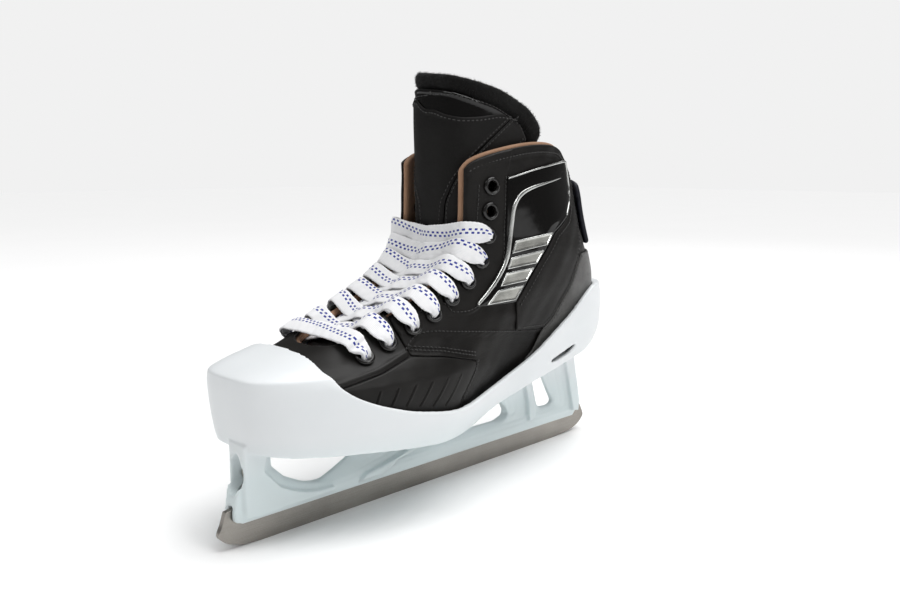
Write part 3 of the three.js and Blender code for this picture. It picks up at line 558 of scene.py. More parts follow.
def rounded_profile(corners, radius, steps=5):
    """Rounds each corner of an open [radius, height] profile whose ends lie on the axis."""
    corners = np.asarray(corners, float)
    out = [corners[0]]
    for before, corner, after in zip(corners[:-2], corners[1:-1], corners[2:]):
        a, b = before - corner, after - corner
        la, lb = np.linalg.norm(a), np.linalg.norm(b)
        cut = min(radius, la * 0.45, lb * 0.45)
        start, end = corner + a / la * cut, corner + b / lb * cut
        for t in np.linspace(0, 1, steps):
            out.append(start * (1 - t)**2 + 2 * corner * t * (1 - t) + end * t**2)
    return np.array(out + [corners[-1]])


def join_meshes(name, material, bits):
    """One object from many small (points, faces) pairs."""
    points, faces, count = [], [], 0
    for bit_points, bit_faces in bits:
        points.append(bit_points)
        faces += [[i + count for i in face] for face in bit_faces]
        count += len(bit_points)
    return make_object(name, np.vstack(points), faces, material)


def capsule(centre, along, out, length, width, height):
    """A stitch: a short thread that dips into the material at both ends."""
    across = np.cross(out, along)
    sides = 6
    turn = np.arange(sides) * 2 * np.pi / sides
    points = []
    stations = np.array([-0.5, -0.36, 0.0, 0.36, 0.5])
    sizes = np.array([0.45, 0.9, 1.0, 0.9, 0.45])
    drops = np.array([-0.75, -0.15, 0.1, -0.15, -0.75])
    for station, size, drop in zip(stations, sizes, drops):
        middle = centre + along * station * length + out * drop * height
        points += list(middle + size * (np.cos(turn)[:, None] * across * width / 2
                                        + np.sin(turn)[:, None] * out * height / 2))
    return np.array(points), tube_faces(len(stations), sides)


def stitches(slices, line, side, offset, pitch=2.5, length=1.75, width=0.6, by="y"):
    """Stitches along a line on one side of a sliced surface, of [y, z] or of [angle, z] points."""
    line = resample(line, 0.5 if by == "y" else 0.02)
    angle = angle_at_y(slices, line[:, 1], line[:, 0]) if by == "y" else line[:, 0]
    rows = np.stack([angle * side, line[:, 1]], 1)
    points = surface(slices, rows[:, 0], rows[:, 1])
    length_so_far = travelled(points)
    stations = np.arange(pitch / 2, length_so_far[-1], pitch)
    angle, z = (np.interp(stations, length_so_far, column) for column in rows.T)
    at, out = surface_frame(slices, angle, z)
    if slices is BOOT_SLICES:
        on_wall = OPEN_EDGES(at) < -1.0
        at, out = at[on_wall], out[on_wall]
    if len(at) < 2:
        return []
    at = at + out * offset
    bits = []
    for centre, direction, normal in zip(at, np.gradient(at, axis=0), out):
        direction = unit(direction - normal * (direction @ normal))
        bits.append(capsule(centre, direction, normal, length, width, width * 0.9))
    return bits


def ribbon_on(slices, line, side, offset, widths, height):
    """A raised strip with a rounded top along a line of [y, z] points on one side of the boot."""
    line = resample(line, 1.0)
    widths = np.interp(np.linspace(0, 1, len(line)), np.linspace(0, 1, len(widths)), widths)
    at, out = surface_frame(slices, angle_at_y(slices, line[:, 1], line[:, 0]) * side, line[:, 1])
    across = unit(np.cross(out, np.gradient(at, axis=0)))
    turn = np.linspace(0, np.pi, 9)
    section = [(np.cos(t), np.sin(t) ** 0.6) for t in turn] + [(-1, -0.4), (1, -0.4)]
    points = []
    for p, o, w, x in zip(at, out, widths, across):
        points += [p + o * (offset + height * v) + x * (w / 2 * u) for u, v in section]
    return np.array(points), tube_faces(len(line), len(section), flip=True)


# ---------------------------------------------------------------- materials
class Shader:
    """Builds one node material; every pattern is in millimetres of the object's own space."""

    def __init__(self, name):
        self.material = bpy.data.materials.new(name)
        self.material.use_nodes = True
        self.tree = self.material.node_tree
        self.main = self.tree.nodes["Principled BSDF"]
        coordinates = self.tree.nodes.new("ShaderNodeTexCoord")
        self.position = self.scaled(coordinates.outputs["Object"], (1000, 1000, 1000))

    def put(self, socket, value):
        """Joins a socket up, or sets it to a number or to a colour of three numbers."""
        if isinstance(value, bpy.types.NodeSocket):
            self.tree.links.new(value, socket)
        elif isinstance(value, tuple):
            socket.default_value = (*value, 1.0)
        else:
            socket.default_value = value

    def set(self, **values):
        for name, value in values.items():
            self.put(self.main.inputs[name.replace("_", " ")], value)

    def rough(self, pattern, low, high):
        """Roughness that follows a noise pattern."""
        self.set(Roughness=self.spread(pattern, 0.3, 0.7, low, high))

    def scaled(self, vector, scale):
        node = self.tree.nodes.new("ShaderNodeMapping")
        self.put(node.inputs["Vector"], vector)
        node.inputs["Scale"].default_value = scale
        return node.outputs[0]

    def noise(self, scale, detail=3.0, roughness=0.55, vector=None):
        node = self.tree.nodes.new("ShaderNodeTexNoise")
        self.put(node.inputs["Vector"], vector or self.position)
        node.inputs["Scale"].default_value = scale
        node.inputs["Detail"].default_value = detail
        node.inputs["Roughness"].default_value = roughness
        return node.outputs["Fac"]

    def cells(self, scale):
        """The distance to the edges of a pattern of cells."""
        node = self.tree.nodes.new("ShaderNodeTexVoronoi")
        node.feature = "DISTANCE_TO_EDGE"
        self.put(node.inputs["Vector"], self.position)
        node.inputs["Scale"].default_value = scale
        return node.outputs["Distance"]

    def math(self, operation, *values):
        node = self.tree.nodes.new("ShaderNodeMath")
        node.operation = operation
        for socket, value in zip(node.inputs, values):
            self.put(socket, value)
        return node.outputs[0]

    def spread(self, value, low, high, to_low=0.0, to_high=1.0):
        node = self.tree.nodes.new("ShaderNodeMapRange")
        for name, v in (("Value", value), ("From Min", low), ("From Max", high),
                        ("To Min", to_low), ("To Max", to_high)):
            self.put(node.inputs[name], v)
        return node.outputs["Result"]

    def mix(self, share, a, b):
        """A colour between a, at share 0, and b, at share 1."""
        node = self.tree.nodes.new("ShaderNodeMix")
        node.data_type = "RGBA"
        self.put(node.inputs[0], share)
        self.put(node.inputs[6], a)
        self.put(node.inputs[7], b)
        return node.outputs[2]

    def bump(self, height, depth_mm, strength=1.0, below=None):
        node = self.tree.nodes.new("ShaderNodeBump")
        self.put(node.inputs["Height"], height)
        node.inputs["Distance"].default_value = depth_mm * MM
        node.inputs["Strength"].default_value = strength
        if below is not None:
            self.put(node.inputs["Normal"], below)
        return node.outputs[0]

    def attribute(self, name):
        node = self.tree.nodes.new("ShaderNodeAttribute")
        node.attribute_name = name
        return node.outputs["Fac"]


def times(colour, factor):
    """A colour made lighter or darker."""
    return tuple(factor * part for part in colour)


PLAIN = Shader("plain").material


def fine_material(name, noise, dark, light, roughness, bump, **settings):
    """A finish in which one fine noise makes the colour, the roughness and the bump."""
    s = Shader(name)
    fine = s.noise(*noise)
    s.set(Base_Color=s.mix(fine, dark, light), **settings)
    s.rough(fine, *roughness)
    s.set(Normal=s.bump(fine, *bump))
    return s.material


def leather_material(name, colour, worn, grain=0.9, roughness=0.44, depth=0.10):
    """Grained leather, rubbed lighter along its edges."""
    s = Shader(name)
    pebbles = s.spread(s.cells(grain), 0.0, 0.28)
    fine = s.noise(5.0, 4.0)
    creases = s.noise(0.16, 5.0, 0.6, s.scaled(s.position, (1.0, 0.6, 1.5)))
    broad = s.noise(0.03, 3.0)
    edge = s.spread(s.attribute("edge_depth"), 0.0, 0.9, 0.55, 0.0)
    rub = s.math("MULTIPLY", edge, s.spread(s.noise(0.35, 4.0), 0.45, 0.75))
    s.set(Base_Color=s.mix(rub, s.mix(s.spread(broad, 0.35, 0.7), colour, worn), times(worn, 2.2)))
    s.set(Roughness=s.math("ADD", s.spread(broad, 0.3, 0.7, roughness - 0.05, roughness + 0.06),
                           s.spread(pebbles, 0, 1, 0.05, -0.02)))
    s.set(Specular_IOR_Level=0.17, Sheen_Weight=0.0, Sheen_Roughness=0.35)
    low = s.bump(creases, 0.5, 0.5)
    s.set(Normal=s.bump(s.math("ADD", pebbles, s.math("MULTIPLY", fine, 0.5)), depth, 0.55, low))
    return s.material


def rubber_leather_material(name, colour):
    """A smooth moulded synthetic with hardly any grain."""
    s = Shader(name)
    fine = s.noise(3.2, 5.0, 0.65)
    broad = s.noise(0.045, 3.0)
    s.set(Base_Color=s.mix(s.spread(broad, 0.3, 0.75), colour, times(colour, 1.6)))
    s.rough(broad, 0.38, 0.48)
    s.set(Specular_IOR_Level=0.2)
    s.set(Normal=s.bump(fine, 0.05, 0.5, s.bump(s.noise(0.12, 4.0), 0.35, 0.35)))
    return s.material


def patent_material():
    """The gloss panel's black patent finish, with a little dust."""
    s = Shader("patent")
    dust = s.spread(s.noise(2.4, 6.0, 0.7), 0.62, 0.8)
    s.set(Base_Color=s.mix(dust, (0.0035, 0.0032, 0.003), (0.012, 0.011, 0.010)))
    s.set(Roughness=s.spread(dust, 0, 1, 0.08, 0.18))
    s.set(Specular_IOR_Level=0.3, Coat_Weight=0.25, Coat_Roughness=0.04)
    s.set(Normal=s.bump(s.noise(0.06, 2.0), 0.6, 0.2))
    return s.material


def silver_material(name, colour, roughness, brushed):
    """Silver foil with fine brushed lines."""
    s = Shader(name)
    lines = s.noise(1.0, 3.0, 0.6, s.scaled(s.position, (0.5, 0.12, 6.0)))
    broad = s.spread(s.noise(0.07, 2.0), 0.35, 0.65)
    s.set(Base_Color=s.mix(broad, colour, times(colour, 0.62)), Metallic=0.92)
    s.rough(lines, roughness, roughness + 0.12)
    s.set(Normal=s.bump(lines, 0.02 * brushed, 0.6))
    return s.material


def nylon_material():
    """White moulding, darker and bluer low down on the holder: partly painted shade under the shell, partly
    the holder's own bluer tint.
    """
    s = Shader("white_nylon")
    fine = s.noise(2.2, 4.0, 0.6)
    height = s.tree.nodes.new("ShaderNodeSeparateXYZ")
    s.put(height.inputs[0], s.position)
    # Painted shade: towards the bottom the holder gets a darker, bluer colour, partly standing for the shade
    # under the shell and partly as its own tint.
    low = s.spread(height.outputs[2], 34.0, 58.0, 1.0, 0.0)
    body = s.mix(s.spread(s.noise(0.018, 3.0), 0.3, 0.7), (0.74, 0.77, 0.785), (0.78, 0.805, 0.82))
    s.set(Base_Color=s.mix(low, body, (0.66, 0.735, 0.745)))
    s.rough(fine, 0.30, 0.40)
    s.set(Specular_IOR_Level=0.45, Subsurface_Weight=0.18, Subsurface_Scale=0.004)
    s.main.inputs["Subsurface Radius"].default_value = (1.0, 1.0, 1.0)
    s.set(Normal=s.bump(fine, 0.02, 0.4, s.bump(s.noise(0.25, 3.0), 0.08, 0.3)))
    return s.material


def steel_material():
    """Ground steel with fine lines along the runner."""
    s = Shader("steel")
    lines = s.noise(1.0, 4.0, 0.7, s.scaled(s.position, (1.0, 0.035, 5.5)))
    fine = s.noise(2.6, 5.0, 0.75)
    clouds = s.spread(s.noise(0.02, 3.0), 0.35, 0.65, 0.0, 0.4)
    scratches = s.spread(s.math("MULTIPLY", lines, fine), 0.15, 0.4, 0.0, 0.6)
    tone = s.math("ADD", clouds, scratches)
    s.set(Base_Color=s.mix(tone, (0.40, 0.375, 0.345), (0.24, 0.225, 0.205)), Metallic=1.0, Anisotropic=0.35)
    s.set(Roughness=s.math("ADD", s.spread(lines, 0.3, 0.7, 0.30, 0.42), s.spread(fine, 0.4, 0.7, 0.0, 0.08)))
    s.set(Normal=s.bump(s.math("ADD", lines, s.math("MULTIPLY", fine, 0.5)), 0.035, 0.6))
    return s.material


def liner_material():
    """Tan suede."""
    s = Shader("tan_liner")
    nap = s.noise(1.6, 6.0, 0.75)
    broad = s.noise(0.09, 4.0, 0.6)
    tan = s.mix(s.spread(broad, 0.3, 0.7), (0.29, 0.160, 0.092), (0.38, 0.225, 0.138))
    s.set(Base_Color=s.mix(s.spread(nap, 0.35, 0.65, 0.0, 0.5), tan, (0.26, 0.135, 0.078)))
    s.rough(nap, 0.78, 0.92)
    s.set(Sheen_Weight=0.15, Sheen_Roughness=0.5, Sheen_Tint=(0.9, 0.72, 0.6))
    s.set(Normal=s.bump(nap, 0.12, 0.6, s.bump(broad, 0.5, 0.35)))
    return s.material


def felt_material():
    """Black felt: clumps under short fibres."""
    s = Shader("black_felt")
    fibres = s.noise(2.2, 7.0, 0.8)
    clumps = s.noise(0.45, 4.0, 0.65)
    colour = (0.0045, 0.0043, 0.0042)
    s.set(Base_Color=s.mix(s.spread(clumps, 0.35, 0.7), colour, times(colour, 2.0)))
    s.rough(fibres, 0.85, 0.98)
    s.set(Specular_IOR_Level=0.15, Sheen_Weight=0.10, Sheen_Roughness=0.35)
    s.set(Normal=s.bump(fibres, 0.5, 0.8, s.bump(clumps, 0.9, 0.5)))
    return s.material


def brushed_fabric_material():
    """The heel counter's short nap, brushed downward, with a silvery sheen."""
    s = Shader("brushed_fabric")
    nap = s.noise(1.0, 5.0, 0.75, s.scaled(s.position, (2.2, 2.2, 0.35)))
    s.set(Base_Color=s.mix(s.spread(nap, 0.38, 0.72), (0.010, 0.010, 0.0095), (0.065, 0.062, 0.056)))
    s.rough(s.noise(0.10, 3.0), 0.42, 0.62)
    s.set(Specular_IOR_Level=0.5, Sheen_Weight=0.3, Sheen_Roughness=0.3)
    s.set(Normal=s.bump(nap, 0.28, 0.7))
    return s.material


def foam_material():
    """The footbed's dark foam, with a pattern of cells."""
    s = Shader("footbed_foam")
    fine = s.noise(1.8, 5.0, 0.7)
    s.set(Base_Color=s.mix(fine, (0.018, 0.019, 0.022), (0.050, 0.051, 0.056)), Sheen_Weight=0.2)
    s.rough(fine, 0.8, 0.95)
    s.set(Normal=s.bump(s.cells(0.9), 0.15, 0.5, s.bump(fine, 0.1, 0.5)))
    return s.material


LACE_DASH_PITCH = 3.3
LACE_DASH_LENGTH = 1.65
# Places across the lace are shares of its half width.
LACE_ROWS_AT = 0.30
LACE_ROW_GAP = 0.17
LACE_DASH_HALF_WIDTH = 0.10
LACE_DRIFT = 0.34
LACE_DRIFT_PERIOD = 96.0


def lace_material():
    """White flat braid; two rows of blue tracer dashes that wander across the flattened tube."""
    s = Shader("white_lace")
    along, across = s.attribute("along"), s.attribute("across")
    turn = s.math("MULTIPLY", along, 2 * math.pi / LACE_DRIFT_PERIOD)
    drift = s.math("MULTIPLY", s.math("SINE", turn), LACE_DRIFT)
    rows = []
    for row, shift in ((-1, 0.0), (1, 0.5)):
        centre = s.math("ADD", drift, LACE_ROWS_AT + row * LACE_ROW_GAP)
        away = s.math("ABSOLUTE", s.math("SUBTRACT", across, centre))
        near = s.math("LESS_THAN", away, LACE_DASH_HALF_WIDTH)
        phase = s.math("FRACT", s.math("ADD", s.math("DIVIDE", along, LACE_DASH_PITCH), shift))
        rows.append(s.math("MULTIPLY", near, s.math("LESS_THAN", phase, LACE_DASH_LENGTH / LACE_DASH_PITCH)))
    strand_along, strand_across = s.math("MULTIPLY", along, 7.0), s.math("MULTIPLY", across, 22.0)
    strands = [s.math("SINE", s.math(way, strand_along, strand_across)) for way in ("ADD", "SUBTRACT")]
    weave = s.math("MULTIPLY", *strands)
    fuzz = s.noise(3.0, 6.0, 0.75)
    white = s.mix(s.spread(s.noise(0.35, 3.0), 0.3, 0.7), (0.90, 0.905, 0.92), (0.95, 0.95, 0.96))
    shaded = s.mix(s.spread(weave, -1.0, 0.2, 0.16, 0.0), white, (0.72, 0.73, 0.76))
    s.set(Base_Color=s.mix(s.math("MAXIMUM", *rows), shaded, (0.010, 0.028, 0.30)))
    s.rough(fuzz, 0.84, 0.96)
    s.set(Specular_IOR_Level=0.2, Sheen_Weight=0.25, Sheen_Roughness=0.5)
    s.set(Normal=s.bump(weave, 0.16, 0.6, s.bump(fuzz, 0.22, 0.6)))
    return s.material


LEATHER = leather_material("black_leather", (0.0060, 0.0054, 0.0049), (0.0105, 0.0094, 0.0085))
SMOOTH_LEATHER = rubber_leather_material("smooth_leather", (0.0080, 0.0074, 0.0068))
TONGUE_LEATHER = leather_material("tongue_leather", (0.0040, 0.0036, 0.0033), (0.0070, 0.0063, 0.0058),
                                  1.3, 0.52, 0.07)
TONGUE_PANEL_LEATHER = leather_material("tongue_panel", (0.0085, 0.0080, 0.0076), (0.013, 0.012, 0.0112),
                                        1.3, 0.52, 0.07)
GUARD_LEATHER = leather_material("guard_leather", (0.0060, 0.0064, 0.0105), (0.012, 0.0125, 0.019),
                                 1.1, 0.42, 0.08)
PATENT = patent_material()
SILVER = silver_material("silver_bars", (0.60, 0.60, 0.56), 0.24, 1.0)
CHROME = silver_material("chrome_trim", (0.72, 0.73, 0.71), 0.13, 0.4)
NYLON = nylon_material()
STEEL = steel_material()
ZINC = fine_material("zinc", (3.0, 4.0), (0.50, 0.49, 0.46), (0.38, 0.37, 0.345), (0.24, 0.36), (0.03, 0.4),
                     Metallic=1.0)
ENAMEL = fine_material("black_enamel", (2.0, 3.0), (0.006, 0.006, 0.006), (0.014, 0.013, 0.012), (0.16, 0.26),
                       (0.02, 0.4), Specular_IOR_Level=0.4, Coat_Weight=0.15, Coat_Roughness=0.12)
COMPOSITE = fine_material("composite", (1.5, 5.0, 0.7), (0.012, 0.012, 0.013), (0.028, 0.028, 0.030),
                          (0.5, 0.65), (0.08, 0.5))
THREAD = fine_material("black_thread", (3.5, 2.0), (0.006, 0.0055, 0.005), (0.017, 0.016, 0.015), (0.45, 0.6),
                       (0.06, 0.6), Sheen_Weight=0.2)
LINER = liner_material()
FELT = felt_material()
COUNTER = brushed_fabric_material()
FOAM = foam_material()
LACE = lace_material()


def fit(obj, body, slot, *nodes):
    """Puts a finished piece on its body and hides the CAD nodes it stands for."""
    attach(obj, body)
    if nodes:
        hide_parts(*nodes)
    return obj


# ---------------------------------------------------------------- runner
RUNNER_HALF = 1.5
# The height at which the runner goes up into the holder.
RUNNER_SHOWING = 13.4
RUNNER_OUTLINE = [
    [[-146, 20], [-148, 14], [-150, 9.4], [-149, 6.8], [-145, 3.6], [-137, 1], [-127, 0]],
    [[112, 0], [128, 1.2], [138, 3.8], [144.2, 8.2], [144.6, 12], [139, 21.5]],
    [128, 22.5], [126, 17.5], [-98, 17.5], [-100, 16], [-124, 16], [-126, 31], [-135, 31], [-138, 21.5],
]


def build_runner():
    """A flat blade whose bottom is hollow-ground: a shallow channel between two sharp edges."""
    flat = outline(RUNNER_OUTLINE)
    centre = np.array([0.0, 14.0])
    count = len(flat)
    # Each section across the blade: its X, and how far it is set in, or the hollow's depth if negative.
    sections = [(-RUNNER_HALF, 0.35), (-RUNNER_HALF + 0.12, 0.0), (-0.5, -0.28), (0.5, -0.28),
                (RUNNER_HALF - 0.12, 0.0), (RUNNER_HALF, 0.35)]
    ahead = np.roll(flat, -1, 0) - np.roll(flat, 1, 0)
    outward = unit(np.stack([ahead[:, 1], -ahead[:, 0]], 1))
    if np.sum(outward * (flat - centre)) < 0:
        outward = -outward
    hollow = smooth_step(3.0, 0.0, flat[:, 1])
    rings = []
    for x, inset in sections:
        depth = np.where(inset < 0, -inset * hollow, inset * 0.6)
        rings.append(np.hstack([np.full((count, 1), x), flat - outward * depth[:, None]]))
    faces = tube_faces(len(rings), count, flip=True)
    obj = make_object("runner_blade", np.vstack(rings), faces, STEEL, smooth=False)
    fit(face_outward(obj), BODY, "steel", "runner")


# ---------------------------------------------------------------- curves seen from the side
SOLE_CURVE = [[-150, 58], [-128, 54], [-107, 51.5], [-85, 49.5], [-60, 47], [-38, 46], [-14, 47.5],
              [14, 54.5], [48, 62.5], [86, 69.5], [120, 73], [160, 74]]
LOWER_EDGE = [[-150, 52], [-128, 48.5], [-107, 47], [-85, 45.5], [-60, 43], [-38, 41.5], [-14, 42.5],
              [14, 50], [48, 58.5], [86, 65], [108, 67.5], [124, 72.5], [134, 80], [150, 96]]
COWLING_RIM = [[-104.5, 86], [-102, 82], [-95, 76.5], [-85, 71.5], [-74, 67.5], [-60, 63.5], [-36, 59.5],
               [-22, 59.5], [-9, 61.5], [12, 66], [33, 73], [53, 82], [79, 95], [94, 103.5], [106, 109],
               [120, 111], [160, 111]]
COLLAR_CURVE = [[-9, 176], [-6, 187], [3, 193], [24, 198], [45, 200.5], [64, 199.5], [76, 193],
                [86, 183], [96, 174], [130, 170]]
SOLE_LINE = spline(SOLE_CURVE)
LOWER_LINE = spline(LOWER_EDGE)
FRONT_BOLT_AT = np.array([0, -131.0, 37.0])


def sole_at(y):
    """The sole's height at a place along the skate, and its upward direction."""
    z = np.interp(y, SOLE_LINE[:, 0], SOLE_LINE[:, 1])
    slope = np.interp(y + 1, SOLE_LINE[:, 0], SOLE_LINE[:, 1]) - z
    return z, unit(np.array([0, -slope, 1.0]))


# The rear bolt's head stands a little above the sole line.
REAR_BOLT_AT = np.array([0, 112.0, sole_at(112)[0] + 0.5])
# The X and Y of each rivet.
RIVET_PLACES = [[20, -88], [24, -58], [14, 98], [-24, -88], [-23, -58], [-14, 98]]

# ---------------------------------------------------------------- cowling
COWLING_HEIGHTS = np.concatenate([np.arange(38, 84, 2.0), np.arange(84, 100, 0.8),
                                  np.arange(100, 115, 2.0)])
HOLDER_HALF = 8.5
PANEL_HALF = 5.0
RAIL_HALF = 5.5
HOLDER_FRAMES = [
    [[-138, 15.4], [-138, 53], [-124, 50], [-127, 38], [[-118, 28], [-98, 20], [-84, 19.2]], [-84, 16.4]],
    [[-66, 17], [[-62, 19.8], [-42, 23.5], [-22, 30], [-8, 42]], [0, 47],
     [[-4, 36], [-22, 25], [-44, 20]], [-50, 17]],
    [[68, 62.5], [74, 63.5], [84, 22], [78, 20]],
    [[112, 69], [121.2, 71], [132, 24], [131, 17], [125, 18]],
]
# Each window as its throat, in the middle of the holder, and the wider rim it opens out to on both faces.
WINDOWS = [
    ([[-119, 50], [-119, 37.5],
      [[-111.5, 30], [-102, 25], [-96, 22.6], [-91, 21.6], [-86, 22.6], [-80.5, 25]], [-58, 36], [-46, 50]],
     [[-122, 50], [-126, 37.6],
      [[-118, 28], [-107.5, 22.6], [-98, 20], [-90, 19.6], [-78, 20.4]], [-61, 22.5],
      [-42, 26], [-22, 34], [-14, 50]]),
    ([[10, 60], [2, 25], [[52, 24.4], [59, 25.4], [61, 28.5], [58.5, 33]], [50, 41], [42, 60]],
     [[-2, 60], [-6, 36], [-26, 25], [-50, 20.6],
      [[60, 21.4], [74, 21.8], [77, 25], [76, 36]], [73, 46], [70, 66]]),
    ([[81, 66], [85, 50], [92, 27.5],
      [[95.7, 25.2], [105, 24.4], [109, 27], [104.5, 34.5]], [97, 47.7], [90, 66]],
     [[79, 66], [81.5, 50], [87.5, 23],
      [[92, 21], [114, 20.6], [121, 23.5], [118, 38]], [115, 54], [112, 70]]),
]
# How far from the middle, and how far from the throat's outline to the rim's.
WINDOW_STEPS = ((0, 0), (1.4, 0.12), (2.2, 0.26), (3.0, 0.44), (3.6, 0.66), (4.2, 1.0))
COWLING_WALL = 3.0
SLOT_HALF = RUNNER_HALF + 0.45
HEEL_SLOT_INNER_END = 12.0
# The front bolt's head sits in a bowl scooped out of the front pillar.
BOWL_CENTRE = np.array([0, -143.0, 38.0])
BOWL_RADII = (5.8, 13.0, 11.0)


def build_shell():
    """The hollow shell that the boot sits in, with a lip behind the heel."""
    shell = trim(filled(COWLING_SLICES, 0.0, COWLING_HEIGHTS), LOWER_LINE)
    hollow = trim(filled(COWLING_SLICES, -COWLING_WALL, COWLING_HEIGHTS), SOLE_LINE)
    lip = prism([[94, 99], [174, 99], [174, 129], [94, 129]], -70, 70, "x")
    combine(lip, filled(BOOT_SLICES, 1.9, np.arange(90, 135, 2.5)), "DIFFERENCE")
    combine(hollow, lip, "DIFFERENCE")
    combine(shell, hollow, "DIFFERENCE")
    rim = np.vstack([spline(COWLING_RIM), [[170, 300], [-107.5, 300], [-107.5, 90]]])
    return combine(shell, prism(rim, -BEYOND_SIDES, BEYOND_SIDES, "x"), "DIFFERENCE")


def build_holder():
    """A thin panel with thicker frames and a rail for the runner, and windows that open outward."""
    top = [list(p) for p in LOWER_LINE[::-1] + [0, 2] if -130 < p[0] < 118]
    panel = outline([[[-143, 19], [-142.5, 15], [-139, RUNNER_SHOWING]], [128, RUNNER_SHOWING],
                     [[134, 18], [133.5, 24], [130, 32]], [121.5, 60], [120.5, 73]] + top + [[-138, 51]])
    holder = prism(panel, -PANEL_HALF, PANEL_HALF, "x")
    for part in HOLDER_FRAMES:
        combine(holder, prism(outline(part), -HOLDER_HALF, HOLDER_HALF, "x"), "UNION")
    rail = [[-139, RUNNER_SHOWING], [-140, 18.5], [131, 18.5], [128, RUNNER_SHOWING]]
    combine(holder, prism(rail, -RAIL_HALF, RAIL_HALF, "x"), "UNION")
    flare = [[-3, -160], [-HOLDER_HALF, -131], [-HOLDER_HALF, 150],
             [HOLDER_HALF, 150], [HOLDER_HALF, -131], [3, -160]]
    combine(holder, prism(flare, 0, 90, "z"), "INTERSECT")
    # The windows are cut only below the shell's lower edge.
    under = np.vstack([LOWER_LINE - [0, 0.6], [[170, -20], [-160, -20]]])
    for throat, rim in WINDOWS:
        throat_line, rim_line = even_points(outline(throat), 120), even_points(outline(rim), 120)
        for beyond, share in WINDOW_STEPS:
            line = throat_line + (rim_line - throat_line) * share
            for low, high in ((beyond, 30), (-30, -beyond)):
                opening = prism(line, low, high, "x")
                combine(opening, prism(under, -40, 40, "x"), "INTERSECT")
                combine(holder, opening, "DIFFERENCE")
    return holder


def build_cowling():
    """Shell and holder in one moulding, cut for the front bolt, the runner and the heel's slot."""
    shell = combine(build_shell(), build_holder(), "UNION")
    # The bowl is a ball with small flats at its poles, stretched into an ellipsoid.
    arc = [[math.cos(t), math.sin(t)] for t in np.linspace(-1.45, 1.45, 25)]
    bowl = turned("bowl", NYLON, [[0, -1]] + arc + [[0, 1]], np.zeros(3), (0, 0, 1), 48)
    bowl.data.transform(Matrix.Translation((BOWL_CENTRE + MIDDLE) * MM) @ Matrix.Diagonal((*BOWL_RADII, 1))
                        @ Matrix.Translation(-MIDDLE * MM))
    combine(shell, bowl, "DIFFERENCE")
    head_room = turned("head_room", NYLON, [[0, 0], [4.1, 0], [4.1, 9], [0, 9]], FRONT_BOLT_AT,
                       (0, -1, 0), 36)
    combine(shell, head_room, "DIFFERENCE")
    slot = [[-151, 10], [-151, 22.0], [-139, 22.0], [-136, 31.5], [-125.4, 31.5], [-123.4, 18.2],
            [125.4, 18.2], [127.6, 23], [135, 22.6], [146, 10]]
    combine(shell, prism(slot, -SLOT_HALF, SLOT_HALF, "x"), "DIFFERENCE")
    heel_slot = outline([[55, 67.8], [[72, 71.9], [86, 74.9], [89.3, 73.9], [82, 69.9]], [68, 67.6]])
    combine(shell, prism(heel_slot, HEEL_SLOT_INNER_END, BEYOND_SIDES, "x"), "DIFFERENCE")
    moulded(shell, 0.75, 5)
    fit(named(shell, "cowling_moulding", NYLON), BODY, "white_nylon", "cowling")


def build_fasteners():
    """The runner's two socket-head bolts and the six rivets that hold the boot down."""
    def bolt(name, at, out, length, node):
        socket = [[0, 0.9], [1.6, 0.9], [1.6, 2.8]]
        head = [[3.0, 2.8], [3.6, 2.2], [3.6, 0.35], [2.1, 0.35], [2.1, -length], [0, -length]]
        obj = turned(name, ZINC, rounded_profile(socket + head, 0.3), at, out, 36)
        fit(obj, BODY, "zinc_fasteners", node)

    bolt("bolt_front", FRONT_BOLT_AT, (0, -1, 0), 7, "runner_bolt_front")
    bolt("bolt_rear", REAR_BOLT_AT, (0, 0, 1), 40, "runner_bolt_rear")
    profile = rounded_profile([[0, -6.9], [3.2, -6.9], [4, -5.6], [1.8, -5.2], [1.8, 3.5], [4, 3.5],
                               [3.2, 4.5], [0, 4.5]], 0.5)
    for i, (x, y) in enumerate(RIVET_PLACES):
        z, out = sole_at(y)
        obj = turned(f"rivet_{i + 1}", ZINC, profile, np.array([x, y, z]), out, 32)
        fit(obj, BODY, "zinc_fasteners", f"sole_rivet_{i + 1}")


def sole_layer(inset, low, high):
    """A solid inside the boot, between two heights above the sole line."""
    layer = trim(filled(BOOT_SLICES, -inset, np.arange(42, 85, 2.0)), SOLE_LINE, low)
    return trim(layer, SOLE_LINE, high, "DIFFERENCE")


def build_soles():
    """The hard outsole board, and the soft footbed above it."""
    outsole = sole_layer(0.6, GAP, GAP + 2.6)
    fit(named(outsole, "outsole_board", COMPOSITE), BODY, "composite", "outsole")
    footbed = moulded(sole_layer(7.0, 5.2, 9.0), 1.2, 4)
    fit(named(footbed, "footbed_insole", FOAM), BODY, "footbed_foam", "footbed")


# ---------------------------------------------------------------- boot wall
THROAT_HALF = 28.0
THROAT = outline([
    [-THROAT_HALF, 34], [-THROAT_HALF, -8], [-24, -52],
    [[-20, -84], [-17, -90], [-9, -94]], [[4, -94], [13, -90], [17, -84]],
    [22, -52], [THROAT_HALF, -8], [THROAT_HALF, 34],
])
TOE_CAP_EDGE = -104.0
UNDER_COLLAR = np.vstack([[[-200, 20], [170, 20]], spline(COLLAR_CURVE)[::-1], [[-14, 140], [-200, 130]]])
AHEAD_OF_QUARTERS = [[-200, 20], [-31.6, 20], [-31.6, 30], [-24.6, 64], [-11.6, 79], [-12.6, 82.4],
                     [-35, 87.9], [-55.6, 91], [-58.6, 104], [-56.6, 130], [-200, 130]]
VAMP_REGION = [[TOE_CAP_EDGE + GAP, 79.5], [-76, 85], [-56, 91], [-59, 104], [-57, 130],
               [TOE_CAP_EDGE + GAP, 130]]
SIDE_PANEL_REGION = [[TOE_CAP_EDGE + GAP, 30], [TOE_CAP_EDGE + GAP, 79.1], [-76, 84.6], [-56, 90.6],
                     [-35, 87.5], [-13, 82], [-12, 79], [-25, 64], [-32, 30]]
